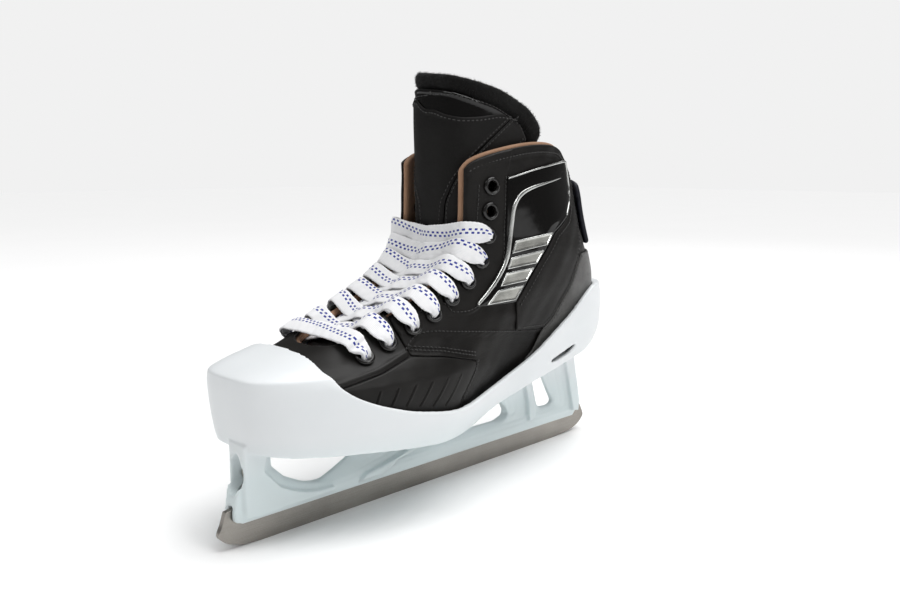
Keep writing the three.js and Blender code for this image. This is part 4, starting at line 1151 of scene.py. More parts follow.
GLOSS_REGION = [[-8, 110.5], [8, 121], [[16, 133], [18, 152], [19.5, 182]], [71, 191.5], [76, 189],
                [[80.5, 176], [79, 166], [72, 157]], [57, 149], [24, 110]]
ANKLE_REGION = [[24.8, 109.6], [57.8, 148.4], [[72.8, 156.4], [79.8, 165], [81.3, 176]], [79, 187], [87, 178],
                [90, 160], [90, 142], [84, 128], [76, 112], [62, 96], [54, 91], [26, 93]]
COUNTER_REGION = [[36, 73], [44, 78], [54.4, 90.6], [62.4, 95.6], [76.4, 111.6], [84.4, 127.6],
                  [90.4, 133.5], [160, 133.5], [160, 98]]
# The Y and Z of each eyelet, from the lowest.
EYELETS = [[-80, 92], [-65, 97.5], [-49, 104], [-35, 109.5], [-22, 117], [-9.5, 125], [1, 136], [6.5, 149.5],
           [8, 163], [9, 177]]
EYESTAY_EDGE = [[-57, 100], [-30, 112.5], [-24, 108], [-11, 107.5], [0, 112], [9, 119], [17, 133],
                [19, 152], [20.5, 184]]
MIDFOOT_SEAM = [[-57, 92], [-45, 99], [-20, 97], [26, 91], [51, 88], [66, 89]]
SLITS = [[[-59 + 10.5 * k, 76.5], [-65.5 + 8.8 * k, 66.5 - 1.4 * k]] for k in (-2, -1, 0, 1, 2, 3)]


EYELET_FRAMES = {
    (i, side): surface_frame(BOOT_SLICES, side * angle_at_y(BOOT_SLICES, float(z), float(y)), float(z))
    for i, (y, z) in enumerate(EYELETS) for side in SIDES.values()
}
EYELET_HOLE_RADIUS = 3.85


def off_eyelets(points):
    """Negative outside the eyelets' holes."""
    nearest = np.full(len(points), 1e9)
    for at, out in EYELET_FRAMES.values():
        offset = points[:, :3] - at
        along = offset @ out
        across = np.sqrt(np.maximum(0, np.einsum("ij,ij->i", offset, offset) - along**2))
        nearest = np.minimum(nearest, np.where(np.abs(along) < 9, across, 1e9))
    return EYELET_HOLE_RADIUS - nearest


def off_throat(points):
    """Negative outside the throat, the opening that the laces close."""
    return -signed_distance(points[:, :2], THROAT)


def of_side(side):
    """A test that is negative on one side of the foot."""
    return lambda p: -side * p[:, 0] + 0.2


OPEN_EDGES = every(side_view(UNDER_COLLAR), off_throat)
ABOVE_SOLE = side_view(above(SOLE_LINE, 3.3))
BOOT_WALL = every(OPEN_EDGES, ABOVE_SOLE)
LINER_STANDS_OUT = 1.6


def side_angles(side, step, first=0.0, last=np.pi, z=110):
    """Even angles between two places on one side of the boot."""
    return even_angles(BOOT_SLICES, z, step, *sorted((first * side, last * side)))


def bead(depth, at, width, height):
    """A low rounded ridge that runs at a distance inside an edge."""
    return height * np.exp(-((depth - at) / width) ** 2)


def line_ridge(line, width, height):
    """A rounded ridge, or a groove if the height is negative, along a side-view line."""
    line = np.asarray(line, float)
    return lambda p: bead(distance_to_line(p[:, 1:3], line), 0, width, height)


def step_up(region, height, width=0.7):
    """Everything inside a side-view region stands a little proud, with a soft edge."""
    test = side_view(region)
    return lambda p: height * smooth_step(width / 2, -width / 2, test(p))


def creases(points):
    """Slow unevenness, as in leather pulled over a last."""
    x, y, z = points.T[:3]
    return (0.16 * np.sin(0.21 * y + 0.13 * z + 0.7) * np.sin(0.17 * z - 0.05 * y)
            + 0.10 * np.sin(0.43 * y - 0.31 * z + 0.05 * x))


EYESTAY_REGION = np.vstack([spline(EYESTAY_EDGE), [[26, 210], [-130, 210], [-130, 100]]])
MIDFOOT_REGION = np.vstack([spline(MIDFOOT_SEAM), [[70, 40], [-60, 40]]])


def build_boot_wall():
    """The boot's own toe cap, its vamp, side panels and quarters, and the liners behind them."""
    ahead_of_vamp = side_view([[-200, 20], [TOE_CAP_EDGE, 20], [TOE_CAP_EDGE, 140], [-200, 140]])
    toe = patch("boot_toe_cap", COMPOSITE, BOOT_SLICES, even_angles(BOOT_SLICES, 70, 2.0, -1.4, 1.4),
                even_heights(BOOT_SLICES, 50, 97, 1.4), every(ahead_of_vamp, BOOT_WALL),
                0.0, -WALL_THICKNESS, 0.8)
    fit(toe, BODY, "composite", "toe_cap")

    # A dark layer that closes the seams, so that no liner shows through them.
    backing = patch("wall_backing", SMOOTH_LEATHER, BOOT_SLICES,
                    even_angles(BOOT_SLICES, 110, 1.8, -2.9, 2.9), even_heights(BOOT_SLICES, 52, 128, 1.8),
                    every(lambda p: BOOT_WALL(p) + 1.2, off_eyelets), -1.3, -2.3, 0.3)
    fit(backing, BODY, "black_leather")

    welt = line_ridge(resample([[TOE_CAP_EDGE, 81.3], [-76, 86.8], [-57, 92.6]], 2), 1.0, 0.7)
    vamp = patch("vamp_upper", SMOOTH_LEATHER, BOOT_SLICES, even_angles(BOOT_SLICES, 92, 0.8, -1.5, 1.5),
                 even_heights(BOOT_SLICES, 78, 112, 0.55),
                 every(side_view(VAMP_REGION), BOOT_WALL, off_eyelets), 0.0, -WALL_THICKNESS, 0.9,
                 lambda p, d: welt(p) * smooth_step(0, 1, d) + 0.4 * creases(p))
    fit(vamp, BODY, "black_leather", "vamp")

    grooves = [line_ridge(np.array(slit), 0.42, -0.55) for slit in SLITS]
    lips = [line_ridge(np.array(slit) + [0.9, 0.1], 0.55, 0.28) for slit in SLITS]

    def panel_relief(p, d):
        return sum(g(p) for g in grooves + lips) + 0.5 * creases(p)

    eyestay = step_up(EYESTAY_REGION, 0.55)
    below_midfoot = step_up(MIDFOOT_REGION, -0.5)
    ankle_fold = line_ridge(spline([[30, 104], [44, 118], [52, 136]]), 3.5, 0.5)
    low_fold = line_ridge(spline([[14, 104], [40, 100], [60, 103]]), 3.0, 0.45)
    collar_groove = line_ridge(spline(COLLAR_CURVE) - [0, 6.5], 0.8, -0.25)
    quarter_shapes = (eyestay, below_midfoot, ankle_fold, low_fold, collar_groove)

    def quarter_relief(p, d):
        return sum(shape(p) for shape in quarter_shapes) * smooth_step(0, 1.2, d) + creases(p)

    for name, side in SIDES.items():
        here = every(of_side(side), off_eyelets)
        panel = patch(f"side_panel_{name}_skin", SMOOTH_LEATHER, BOOT_SLICES,
                      side_angles(side, 0.42, 0.45, 1.9, 70), np.arange(50, 92, 0.42),
                      every(side_view(SIDE_PANEL_REGION), BOOT_WALL, here),
                      0.0, -WALL_THICKNESS, 0.9, panel_relief)
        fit(panel, BODY, "black_leather", f"side_panel_{name}")
        quarter = patch(f"quarter_{name}_skin", LEATHER, BOOT_SLICES, side_angles(side, 0.9, 0.5),
                        np.arange(56, 203, 0.9),
                        every(outside(side_view(AHEAD_OF_QUARTERS)), BOOT_WALL, here),
                        0.0, -WALL_THICKNESS, 1.0, quarter_relief)
        fit(quarter, BODY, "black_leather", f"quarter_{name}")
        liner = patch(f"liner_{name}_padding", LINER, BOOT_SLICES, side_angles(side, 1.4),
                      even_heights(BOOT_SLICES, 52, 203.5, 1.3),
                      every(lambda p: OPEN_EDGES(p) - LINER_STANDS_OUT, ABOVE_SOLE, here),
                      LINER_OUTER, LINER_INNER, 1.75)
        fit(liner, BODY, "tan_liner", f"liner_{name}")


def build_overlays():
    """What lies on the quarters: gloss panels, ankle overlays and the heel counter."""
    for name, side in SIDES.items():
        angles = side_angles(side, 0.8, 0.6, 2.6, 150)
        gloss = patch(f"gloss_panel_{name}_patent", PATENT, BOOT_SLICES, angles, np.arange(106, 196, 0.8),
                      every(side_view(GLOSS_REGION), of_side(side)), OVERLAY_TOP, GAP, 0.9,
                      lambda p, d: 0.35 * smooth_step(0.5, 6, d))
        fit(gloss, BODY, "gloss_black", f"gloss_panel_{name}")
        ankle = patch(f"ankle_overlay_{name}_leather", LEATHER, BOOT_SLICES, angles, np.arange(88, 190, 0.8),
                      every(side_view(ANKLE_REGION), of_side(side)), OVERLAY_TOP, GAP, 0.9,
                      lambda p, d: creases(p) * smooth_step(0, 4, d) + 0.25 * smooth_step(0.5, 5, d))
        fit(ankle, BODY, "black_leather", f"ankle_overlay_{name}")
    counter = patch("heel_counter_fabric", COUNTER, BOOT_SLICES,
                    even_angles(BOOT_SLICES, 110, 0.9, 1.2, 2 * np.pi - 1.2), np.arange(70, 135, 0.9),
                    side_view(COUNTER_REGION), OVERLAY_TOP + 0.1, GAP, 0.9)
    fit(counter, BODY, "black_leather", "heel_counter")


PIPING_ARC = [[66, 181], [52, 178.5], [38, 175.5], [29, 171.5], [24, 165], [22, 155], [20.5, 146],
              [17.5, 135], [11, 126], [3, 118.5], [-6, 111.8]]
PIPING_TOP = [[19.8, 181.2], [45, 187], [70.5, 190.6], [75, 188.3], [79.6, 176.5], [78.3, 167.4],
              [72, 158.4]]
# The piping's width along each line, at even shares of its length.
ARC_WIDTHS = [0.5, 1.3, 2.4, 3.0, 3.0, 2.6, 1.6]
TOP_WIDTHS = [0.7, 0.9, 1.2, 1.2, 0.9]
# The bars' chrome rim; the brushed middle starts this far in.
BAR_RIM = 0.75
BARS = [
    [[24.5, 145.6], [55, 149.2], [49.5, 141.8], [21.5, 138.4]],
    [[20.7, 136.2], [47, 139.2], [41, 131.6], [17.6, 129.6]],
    [[16.4, 127.6], [38.8, 129.4], [32.2, 121.8], [11.2, 120.2]],
    [[9.6, 118.4], [30, 119.8], [23.2, 111.6], [0, 110.8]],
]


def build_trim():
    """Silver piping and four plain bars on the gloss panel."""
    for name, side in SIDES.items():
        bits = [
            ribbon_on(BOOT_SLICES, spline(PIPING_ARC), side, OVERLAY_TOP + 0.2, ARC_WIDTHS, 0.5),
            ribbon_on(BOOT_SLICES, spline(PIPING_TOP), side, OVERLAY_TOP + 0.05, TOP_WIDTHS, 0.45),
        ]
        piping = join_meshes(f"piping_{name}", CHROME, bits)
        fit(piping, BODY, "gloss_black")
        for k, bar in enumerate(BARS):
            region = every(side_view(np.array(bar, float)), of_side(side))
            piece = patch(f"trim_bar_{name}_{k + 1}", CHROME, BOOT_SLICES,
                          side_angles(side, 0.5, 0.8, 2.2, 130), np.arange(107, 152, 0.5), region,
                          OVERLAY_TOP + 0.95, OVERLAY_TOP + 0.1, 0.5,
                          lambda p, d: -0.35 * smooth_step(0.7, 1.1, d))
            piece.data.materials.append(SILVER)
            depth = np.zeros(len(piece.data.vertices))
            piece.data.attributes["edge_depth"].data.foreach_get("value", depth)
            for face in piece.data.polygons:
                if min(depth[i] for i in face.vertices) > BAR_RIM:
                    face.material_index = 1
            fit(piece, BODY, "gloss_black")


def shifted(line, by):
    """A side-view line moved sideways by a distance."""
    line = resample(line, 1.5)
    ahead = np.gradient(line, axis=0)
    return line + unit(np.stack([-ahead[:, 1], ahead[:, 0]], 1)) * by


def build_stitching():
    """Rows of thread along the seams: each is a side-view line and how far it stands off the boot."""
    top = 0.45
    overlay = OVERLAY_TOP + 0.2
    for name, side in SIDES.items():
        eyestay = spline(EYESTAY_EDGE)
        midfoot = spline(MIDFOOT_SEAM)
        rows = [
            (shifted(eyestay[eyestay[:, 0] > -30], 1.7), top + 0.5),
            (shifted(midfoot, 1.7), top),
            (np.array([[-55, 93.5], [-35, 90.4], [-12.5, 84.8]]), top - 0.3),
            (np.array([[-55, 95.2], [-35, 92.1], [-11.5, 86.4]]), top - 0.3),
            (np.array([[-9.6, 82.5], [-22, 65], [-24, 61]]), top - 0.3),
            (spline(COLLAR_CURVE)[4:76] - [0, 4.4], top),
            (shifted(outline(ANKLE_REGION)[22:], -1.8)[8:-4], overlay + 0.1),
            (shifted(np.array([[26.5, 108.5], [59, 147.2], [73.5, 155], [81, 165]]), -1.5),
             overlay + 0.1),
            (shifted(np.array(COUNTER_REGION[6:1:-1]), 1.6), overlay),
            (spline(EYELETS)[30:] - [7.6, -1.2], top + 0.45),
        ]
        bits = []
        for line, offset in rows:
            bits += stitches(BOOT_SLICES, line, side, offset)
        obj = join_meshes(f"stitching_{name}", THREAD, bits)
        fit(obj, BODY, "black_leather")


# ---------------------------------------------------------------- eyelets
EYELET_PROFILE = [
    [3.0, -6.6], [3.7, -6.6], [3.72, -1.0], [3.74, 0.75], [4.2, 0.95], [4.8, 0.95], [5.1, 1.15],
    [5.12, 1.5], [4.85, 1.9], [4.35, 2.25], [3.85, 2.4], [3.4, 2.25], [3.1, 1.8], [3.0, 1.1], [3.0, -6.6],
]


def build_eyelets():
    """Rolled rings that go through the wall, ten on each side."""
    for name, side in SIDES.items():
        for i in range(len(EYELETS)):
            at, out = EYELET_FRAMES[i, side]
            ring = turned(f"eyelet_ring_{name}_{i + 1}", ENAMEL, EYELET_PROFILE, at, out, 56)
            fit(ring, BODY, "black_enamel", f"eyelet_{name}_{i + 1}")


# ---------------------------------------------------------------- tongue
FELT_EDGE = [[-66, 84], [-52, 96], [-30, 108], [-6, 120], [8, 134], [16, 152], [22, 172], [36, 188],
             [50, 197], [57, 204], [57.5, 210.5], [51, 218], [42, 225], [27, 232], [13, 235.5], [0, 238],
             [-14, 240], [-40, 240.6]]
FACE_EDGE = [[-69, 84], [-55, 96], [-33, 108], [-9, 120], [4, 134], [11, 152], [16, 172], [29, 188],
             [41, 198], [44.6, 203.5], [42, 209], [37.5, 214], [22, 221.8], [9, 225.8], [0, 228.4],
             [-8, 231], [-17, 232], [-40, 232.5]]


def tongue_region(edge):
    """The side-view region of the tongue, behind and below an edge curve."""
    return np.vstack([[[-90, 84]], spline(edge), [[-120, 240], [-120, 160], [-90, 100]]])


TONGUE_ANGLES = even_angles(TONGUE_SLICES, 180, 0.9, -2.2, 2.2)
# Lines on the tongue's face, as the angle round the slice and the height.
PANEL_TOP = spline([[-1.5, 214.5], [-1.2, 216.5], [-0.8, 221], [-0.45, 225.2], [-0.2, 226],
                    [-0.1, 223.5], [0, 220], [0.15, 217], [0.44, 215.2], [0.78, 215.6], [1.1, 217.4],
                    [1.36, 216.3], [1.5, 214]])
SIDE_SEAM = spline([[1.36, 216.5], [1.296, 214.9], [1.12, 208.7], [0.92, 201.5], [0.757, 195.7],
                    [0.54, 187.6], [0.366, 180.6], [0.245, 173.2], [0.168, 166.3], [0.14, 150]])
# The tongue's top leans: it stands higher on the inner side of the foot.
TOP_LEAN = 0.11
TOP_LEAN_FROM = 196.0
TOP_LEAN_PIVOT_X = 14.0


def tongue_test(edge):
    """The test of the tongue region within an edge."""
    region = side_view(tongue_region(edge))

    def test(p):
        leaning = smooth_step(TOP_LEAN_FROM, TOP_LEAN_FROM + 30, p[:, 2])
        level = p.copy()
        level[:, 2] += TOP_LEAN * (p[:, 0] - TOP_LEAN_PIVOT_X) * leaning
        return region(level)

    return test


def bend(obj):
    """Bakes a piece's placement into its mesh."""
    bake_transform(obj)


def puff(obj, voxel, pressure, cap):
    """Swells a soft piece a little by cloth simulation and keeps the result."""
    remesh = obj.modifiers.new("remesh", "REMESH")
    remesh.mode = "VOXEL"
    remesh.voxel_size = voxel * MM
    evaluated(obj)
    before = np.array([v.co for v in obj.data.vertices])
    cloth = obj.modifiers.new("cloth", "CLOTH")
    cloth.settings.use_pressure = True
    cloth.settings.uniform_pressure_force = pressure
    cloth.settings.effector_weights.gravity = 0
    scene = bpy.context.scene
    for step in range(1, 21):
        scene.frame_set(step)
    graph = bpy.context.evaluated_depsgraph_get()
    simulated = obj.evaluated_get(graph).data
    after = np.array([v.co for v in simulated.vertices])
    move = after - before
    length = np.linalg.norm(move, axis=1, keepdims=True)
    move *= np.minimum(1, cap * MM / np.maximum(length, 1e-9))
    obj.modifiers.remove(cloth)
    obj.data.vertices.foreach_set("co", (before + move).astype(np.float32).ravel())
    scene.frame_set(1)
    subdivide = obj.modifiers.new("subdivide", "SUBSURF")
    subdivide.levels = subdivide.render_levels = 1
    evaluated(obj)
    obj.data.shade_smooth()
    return obj


def fuzz(name, material, obj, count, keep, length=1.3, thick=0.09, seed=4):
    """Short fibres standing on a soft piece, where keep(points) allows them."""
    rng = np.random.default_rng(seed)
    mesh = obj.data
    size = len(mesh.vertices)
    points, normals = np.zeros(size * 3), np.zeros(size * 3)
    mesh.vertices.foreach_get("co", points)
    mesh.vertices.foreach_get("normal", normals)
    points = points.reshape(-1, 3) / MM - MIDDLE
    normals = normals.reshape(-1, 3)
    chosen = np.flatnonzero(keep(points, normals))
    chosen = rng.choice(chosen, count)
    jitter = rng.normal(0, 0.55, (count, 3))
    roots = points[chosen] + jitter - normals[chosen] * np.sum(jitter * normals[chosen], 1, keepdims=True)
    lean = unit(normals[chosen] + rng.normal(0, 0.45, (count, 3)))
    tips = roots + lean * (length * rng.uniform(0.4, 1.2, count))[:, None]
    helper = unit(np.cross(lean, rng.normal(0, 1, (count, 3))))
    other = np.cross(lean, helper)
    base = [roots - lean * 0.15 + thick * (math.cos(t) * helper + math.sin(t) * other)
            for t in (0, 2 * math.pi / 3, 4 * math.pi / 3)]
    vertices = np.stack(base + [tips], 1).reshape(-1, 3)
    start = np.arange(count)[:, None] * 4
    faces = np.vstack([start + f for f in ([0, 1, 3], [1, 2, 3], [2, 0, 3], [0, 2, 1])])
    return make_object(name, vertices, faces, material)


def build_tongue():
    """A swelled felt with a nap, a glossy face over it, and leather panels on the face."""
    face_test = tongue_test(FACE_EDGE)

    def rim_relief(p, d):
        return 2.6 * smooth_step(0.3, 2.6, face_test(p))

    felt = patch("tongue_felt", FELT, TONGUE_SLICES, even_angles(TONGUE_SLICES, 180, 1.3, -2.3, 2.3),
                 even_heights(TONGUE_SLICES, 85, 244.5, 1.3), tongue_test(FELT_EDGE), -2.95, -7.15,
                 2.0, rim_relief)
    puff(felt, 1.7, 3.0, 0.8)
    nap = fuzz("tongue_felt_nap", FELT, felt, 9000, lambda p, n: (p[:, 2] > 176) & (face_test(p) > -0.4))
    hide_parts("tongue_felt_lower", "tongue_felt_upper")
    bend(felt)
    bend(nap)

    heights = even_heights(TONGUE_SLICES, 85, 237, 0.9)

    face = patch("tongue_face", PATENT, TONGUE_SLICES, TONGUE_ANGLES, heights, face_test, 0.0, -2.6, 1.1,
                 lambda p, d: bead(d, 1.4, 0.9, 0.35) + 0.15 * creases(p))
    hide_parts("tongue_face_lower", "tongue_face_upper")
    bend(face)

    def below_top(p):
        return (p[:, 2] - np.interp(p[:, 3], PANEL_TOP[:, 0], PANEL_TOP[:, 1])) * 0.9

    def inset(p):
        return face_test(p) + 1.7

    def beyond_seam(p):
        seam = np.interp(p[:, 2], SIDE_SEAM[::-1, 1], SIDE_SEAM[::-1, 0])
        return (np.abs(p[:, 3]) - seam) * 26

    def panel_relief(p, d):
        return 0.12 * creases(p) + bead(d, 1.3, 0.9, 0.3)

    panels = [patch("tongue_panel", TONGUE_LEATHER, TONGUE_SLICES, TONGUE_ANGLES, heights,
                    every(inset, below_top, lambda p: beyond_seam(p) + 0.2), 1.15, 0.05, 0.9, panel_relief)]
    for name, side in SIDES.items():
        region = every(inset, below_top, outside(lambda p: beyond_seam(p) - 0.2), of_side(side))
        panels.append(patch(f"tongue_side_panel_{name}", TONGUE_PANEL_LEATHER, TONGUE_SLICES, TONGUE_ANGLES,
                            heights, region, 1.0, 0.05, 0.9, panel_relief))
    for panel in panels:
        bend(panel)

    bits = []
    edge = spline(FACE_EDGE)
    band = edge[(edge[:, 1] > 205) & (edge[:, 0] > -17)]
    top_seam = PANEL_TOP[np.abs(PANEL_TOP[:, 0]) < 1.42] - [0, 2.0]
    bits += stitches(TONGUE_SLICES, top_seam, 1, 1.5, by="angle")
    for side in SIDES.values():
        for shift in (-0.07, 0.05):
            bits += stitches(TONGUE_SLICES, SIDE_SEAM + [shift, 0], side, 1.45, by="angle")
        bits += stitches(TONGUE_SLICES, shifted(edge[30:88], 4.4), side, 1.4)
        bits += stitches(TONGUE_SLICES, shifted(band, 1.9), side, 0.5)
    threads = join_meshes("tongue_stitching", THREAD, bits)
    bend(threads)


# ---------------------------------------------------------------- tendon guard
GUARD_OUTLINE = outline([[-25, 138], [[-24, 168], [-20, 176.5], [-12, 179.5]],
                         [[12, 179.5], [20, 176.5], [24, 168]], [25, 138]])


def build_guard():
    """The flap behind the ankle, which moves as one piece."""
    region = every(lambda p: signed_distance(p[:, [0, 2]], GUARD_OUTLINE), lambda p: 60 - p[:, 1])
    angles = even_angles(GUARD_SLICES, 155, 0.8, 2.0, 2 * np.pi - 2.0)
    guard = patch("tendon_guard_flap", GUARD_LEATHER, GUARD_SLICES, angles, np.arange(134, 182, 0.8),
                  region, 0.0, -3.2, 1.5, lambda p, d: bead(d, 2.0, 1.2, 0.5))
    fit(guard, "guard", "black_leather", "tendon_guard")


# ---------------------------------------------------------------- lace
LACED_EYELETS = 8
LACE_END_X = 27.5
LACE_END = ((24, 147), (40, 141))
LACE_INSIDE, LACE_ON_FACING, LACE_OVER_FLANGE = -8.4, 3.2, 3.6
FACING_CURVE_RADIUS = 35.0
LACE_STEP = 0.7
# The lace's width and thickness, in an eyelet and on its runs.
BUNCHED, FLAT = (5.4, 2.2), (11.2, 1.6)


def off_surface(slices, point, offset):
    """The point at an offset from a surface above the given one, and the outward direction there."""
    at = onto(slices, point, offset)
    return at, unit(at - onto(slices, point, offset - 1))


def lace_place(side, k, inward, offset, upward, section):
    """A place on the lace's route by an eyelet: the place, the lace's width direction, out, and its size."""
    at, out = EYELET_FRAMES[k, side]
    before, _ = EYELET_FRAMES[max(0, k - 1), side]
    after, _ = EYELET_FRAMES[min(len(EYELETS) - 1, k + 1), side]
    up = unit(after - before)
    if inward == 0:
        return at + out * offset, up, out, section
    across = unit(np.cross(up, out))
    if across[0] * side > 0:
        across = -across
    sag = inward**2 / (2 * FACING_CURVE_RADIUS)
    place, out = off_surface(BOOT_SLICES, at + across * inward - out * sag + up * upward, offset)
    return place, up, out, section


def over_tongue(start, end, share, offset):
    """A place on the way from one side to the other, at a height above the tongue."""
    straight = start[0] + (end[0] - start[0]) * share
    up = start[1] + (end[1] - start[1]) * share
    place, out = off_surface(TONGUE_SLICES, straight, offset)
    return place, unit(up), out, FLAT


def crossing(side, k):
    """From inside one eyelet to inside the next eyelet up on the other side."""
    leaving = lace_place(side, k, 12, -7.5, 4.5, FLAT)
    arriving = lace_place(-side, k + 1, 15, LACE_ON_FACING, -1, FLAT)
    return [
        leaving,
        over_tongue(leaving, arriving, 0.2, 3.2),
        over_tongue(leaving, arriving, 0.35, 4.2),
        over_tongue(leaving, arriving, 0.5, 6 if side < 0 else 4.2),
        over_tongue(leaving, arriving, 0.72, 6.4 if side < 0 else 5.6),
        arriving,
        lace_place(-side, k + 1, 6, LACE_OVER_FLANGE, 0, FLAT),
        lace_place(-side, k + 1, 0, LACE_OVER_FLANGE - 0.4, 0, BUNCHED),
        lace_place(-side, k + 1, 0, LACE_INSIDE, 0, BUNCHED),
    ]


def chain(side):
    """Half of the lace: from the lowest eyelet on one side up to the end behind the quarter."""
    points, start = [lace_place(side, 0, 0, LACE_INSIDE, 0, BUNCHED)], side
    for k in range(LACED_EYELETS - 1):
        points += crossing(start, k)
        start = -start
    for y, z in LACE_END:
        points.append((np.array([start * LACE_END_X, y, z]), points[-1][1], points[-1][2], BUNCHED))
    return points


def half_bar(side):
    """Half of the lowest run, from an eyelet towards the middle."""
    places = ((0, LACE_OVER_FLANGE, BUNCHED), (6, LACE_OVER_FLANGE, FLAT), (13, LACE_ON_FACING + 1, FLAT))
    return [lace_place(side, 0, inward, offset, 0, section) for inward, offset, section in places]


def build_lace():
    """A flat braid swept along its route, gathered into folds where it goes through the eyelets."""
    route = chain(-1)[::-1] + half_bar(-1) + half_bar(1)[::-1] + chain(1)
    rows = spline([np.concatenate(place) for place in route], 12)
    length = travelled(rows[:, :3])
    at = np.arange(0, length[-1], LACE_STEP)
    rows = np.stack([np.interp(at, length, column) for column in rows.T], 1)
    centres, ups, outs = rows[:, :3], rows[:, 3:6], rows[:, 6:9]
    widths, thicks = rows[:, 9], rows[:, 10]
    tangent = unit(np.gradient(centres, axis=0))

    def square_to_run(vectors):
        return vectors - tangent * np.sum(vectors * tangent, 1, keepdims=True)

    # The band lies flat on what it runs over, except where it dives into an eyelet.
    outward = square_to_run(unit(outs))
    flatness = np.minimum(1, np.sum(outward * outward, 1, keepdims=True) * 1.3)
    outward /= np.maximum(np.linalg.norm(outward, axis=1, keepdims=True), 1e-6)
    wide = square_to_run(ups)
    wide = unit(wide - outward * np.sum(wide * outward, 1, keepdims=True) * flatness)
    thick = np.cross(tangent, wide)
    columns = 22
    turn = np.arange(columns) * 2 * np.pi / columns
    share, bulge = np.cos(turn), np.sin(turn)
    across = np.sign(share) * np.abs(share) ** 0.75
    rounding = np.sign(bulge) * np.abs(bulge) ** 0.55
    squeeze = np.clip((FLAT[0] - widths) / (FLAT[0] - BUNCHED[0]), 0, 1)
    points = []
    for i in range(len(rows)):
        folds = squeeze[i] * 0.9 * np.cos(2.6 * math.pi * across)
        twist = 0.16 * math.sin(at[i] * 0.31) * across
        ripple = folds + twist + 0.10 * np.sin(at[i] * 0.9 + 3 * across)
        edge = 1 + 0.018 * math.sin(at[i] * 2.7)
        points.append(centres[i] + wide[i] * (across * widths[i] / 2 * edge)[:, None]
                      + thick[i] * (rounding * thicks[i] / 2 + ripple)[:, None])
    lace = make_object("lace_braid", np.vstack(points), tube_faces(len(rows), columns), LACE)
    set_attribute(lace, "along", np.repeat(at, columns))
    set_attribute(lace, "across", np.tile(across, len(rows)))
    fit(lace, BODY, "white_lace", "lace")

    profile = rounded_profile([[0, 0], [1.5, 0], [1.45, 4], [1.2, 20], [0, 20]], 0.5)
    (before_y, before_z), (end_y, end_z) = LACE_END
    along = unit(np.array([0, end_y - before_y, float(end_z - before_z)]))
    for name, side in SIDES.items():
        end = np.array([side * LACE_END_X, end_y, end_z])
        tip = turned(f"aglet_{name}", ENAMEL, profile, end + along * LACE_STEP, along, 24)
        fit(tip, BODY, "lace_tips", f"lace_tip_{name}")


# ---------------------------------------------------------------- stage
CAMERA_AT = (361.64, -347.45, 188.7)
CAMERA_ELEVATION = 8.92
CAMERA_AZIMUTH = 45.19
CAMERA_LENS = 34.4
# The stage itself is in metres.
FLOOR_HALF = 6.0
AIM = Vector((0, 0, 0.11))
WORLD_LIGHT = 0.12
WORLD_SEEN = 0.88
# Each lamp's name, place, size and power.
LAMPS = [
    ("key", (-0.3, -0.9, 1.2), 0.8, 4.0),
    ("side", (1.3, 0.1, 0.75), 0.45, 4.2),
    ("back", (-0.5, 1.2, 1.0), 0.6, 2.0),
    ("top", (0.1, 0.15, 1.5), 0.9, 0.8),
]


def build_camera():
    """The photograph's point of view."""
    camera_data = bpy.data.cameras.new("camera")
    camera_data.sensor_width = 36
    camera_data.lens = CAMERA_LENS
    camera_data.clip_start = 0.01
    camera = bpy.data.objects.new("camera", camera_data)
    camera.location = [v * MM for v in CAMERA_AT]
    camera.rotation_euler = (math.radians(90 - CAMERA_ELEVATION), 0, math.radians(CAMERA_AZIMUTH))
    bpy.context.scene.collection.objects.link(camera)
    bpy.context.scene.camera = camera


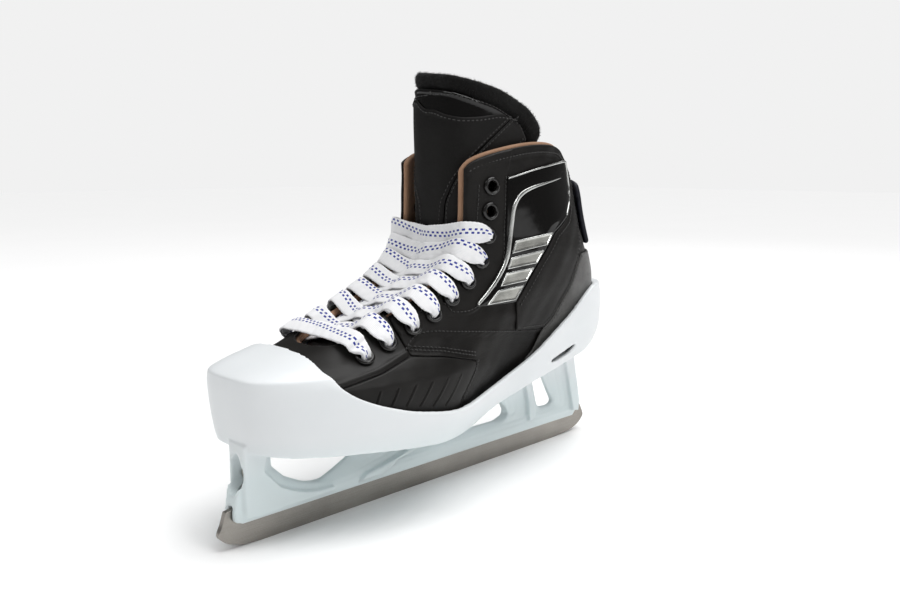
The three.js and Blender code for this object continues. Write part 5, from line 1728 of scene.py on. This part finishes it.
def build_floor():
    """A white floor, which isn't part of the object."""
    s = Shader("floor")
    tone = s.noise(0.004, 2.0)
    s.set(Base_Color=s.mix(tone, (0.955, 0.955, 0.955), (0.975, 0.975, 0.975)), Roughness=0.8)
    mesh = bpy.data.meshes.new("floor")
    corners = [(-FLOOR_HALF, -FLOOR_HALF, 0), (FLOOR_HALF, -FLOOR_HALF, 0),
               (FLOOR_HALF, FLOOR_HALF, 0), (-FLOOR_HALF, FLOOR_HALF, 0)]
    mesh.from_pydata(corners, [], [(0, 1, 2, 3)])
    mesh.materials.append(s.material)
    floor = bpy.data.objects.new("floor", mesh)
    bpy.context.scene.collection.objects.link(floor)


def build_world():
    """A world that lights the skate little, but looks nearly white behind it."""
    world = bpy.data.worlds.new("studio")
    world.use_nodes = True
    tree = world.node_tree
    around = tree.nodes["Background"]
    behind = tree.nodes.new("ShaderNodeBackground")
    for background, strength in ((around, WORLD_LIGHT), (behind, WORLD_SEEN)):
        background.inputs["Color"].default_value = (1, 1, 1, 1)
        background.inputs["Strength"].default_value = strength
    seen = tree.nodes.new("ShaderNodeLightPath")
    either = tree.nodes.new("ShaderNodeMixShader")
    tree.links.new(seen.outputs["Is Camera Ray"], either.inputs[0])
    tree.links.new(around.outputs[0], either.inputs[1])
    tree.links.new(behind.outputs[0], either.inputs[2])
    tree.links.new(either.outputs[0], tree.nodes["World Output"].inputs["Surface"])
    bpy.context.scene.world = world
    bpy.context.scene.view_settings.view_transform = "Standard"


def build_lights():
    """A wide soft sun overhead and four area lamps."""
    sky = bpy.data.lights.new("overhead", "SUN")
    sky.energy = 2.8
    sky.angle = math.radians(55)
    overhead = bpy.data.objects.new("overhead", sky)
    overhead.rotation_euler = (math.radians(-12), math.radians(10), 0)
    bpy.context.scene.collection.objects.link(overhead)
    for name, place, size, power in LAMPS:
        light = bpy.data.lights.new(name, "AREA")
        light.shape = "RECTANGLE"
        light.size = size
        light.size_y = size * 0.7
        light.energy = power
        obj = bpy.data.objects.new(name, light)
        obj.location = place
        obj.rotation_mode = "QUATERNION"
        obj.rotation_quaternion = (AIM - Vector(place)).to_track_quat("-Z", "Y")
        bpy.context.scene.collection.objects.link(obj)


build_camera()
build_floor()
build_world()
build_lights()
build_runner()
build_cowling()
build_fasteners()
build_soles()
build_boot_wall()
build_overlays()
build_trim()
build_stitching()
build_eyelets()
build_tongue()
build_guard()
build_lace()
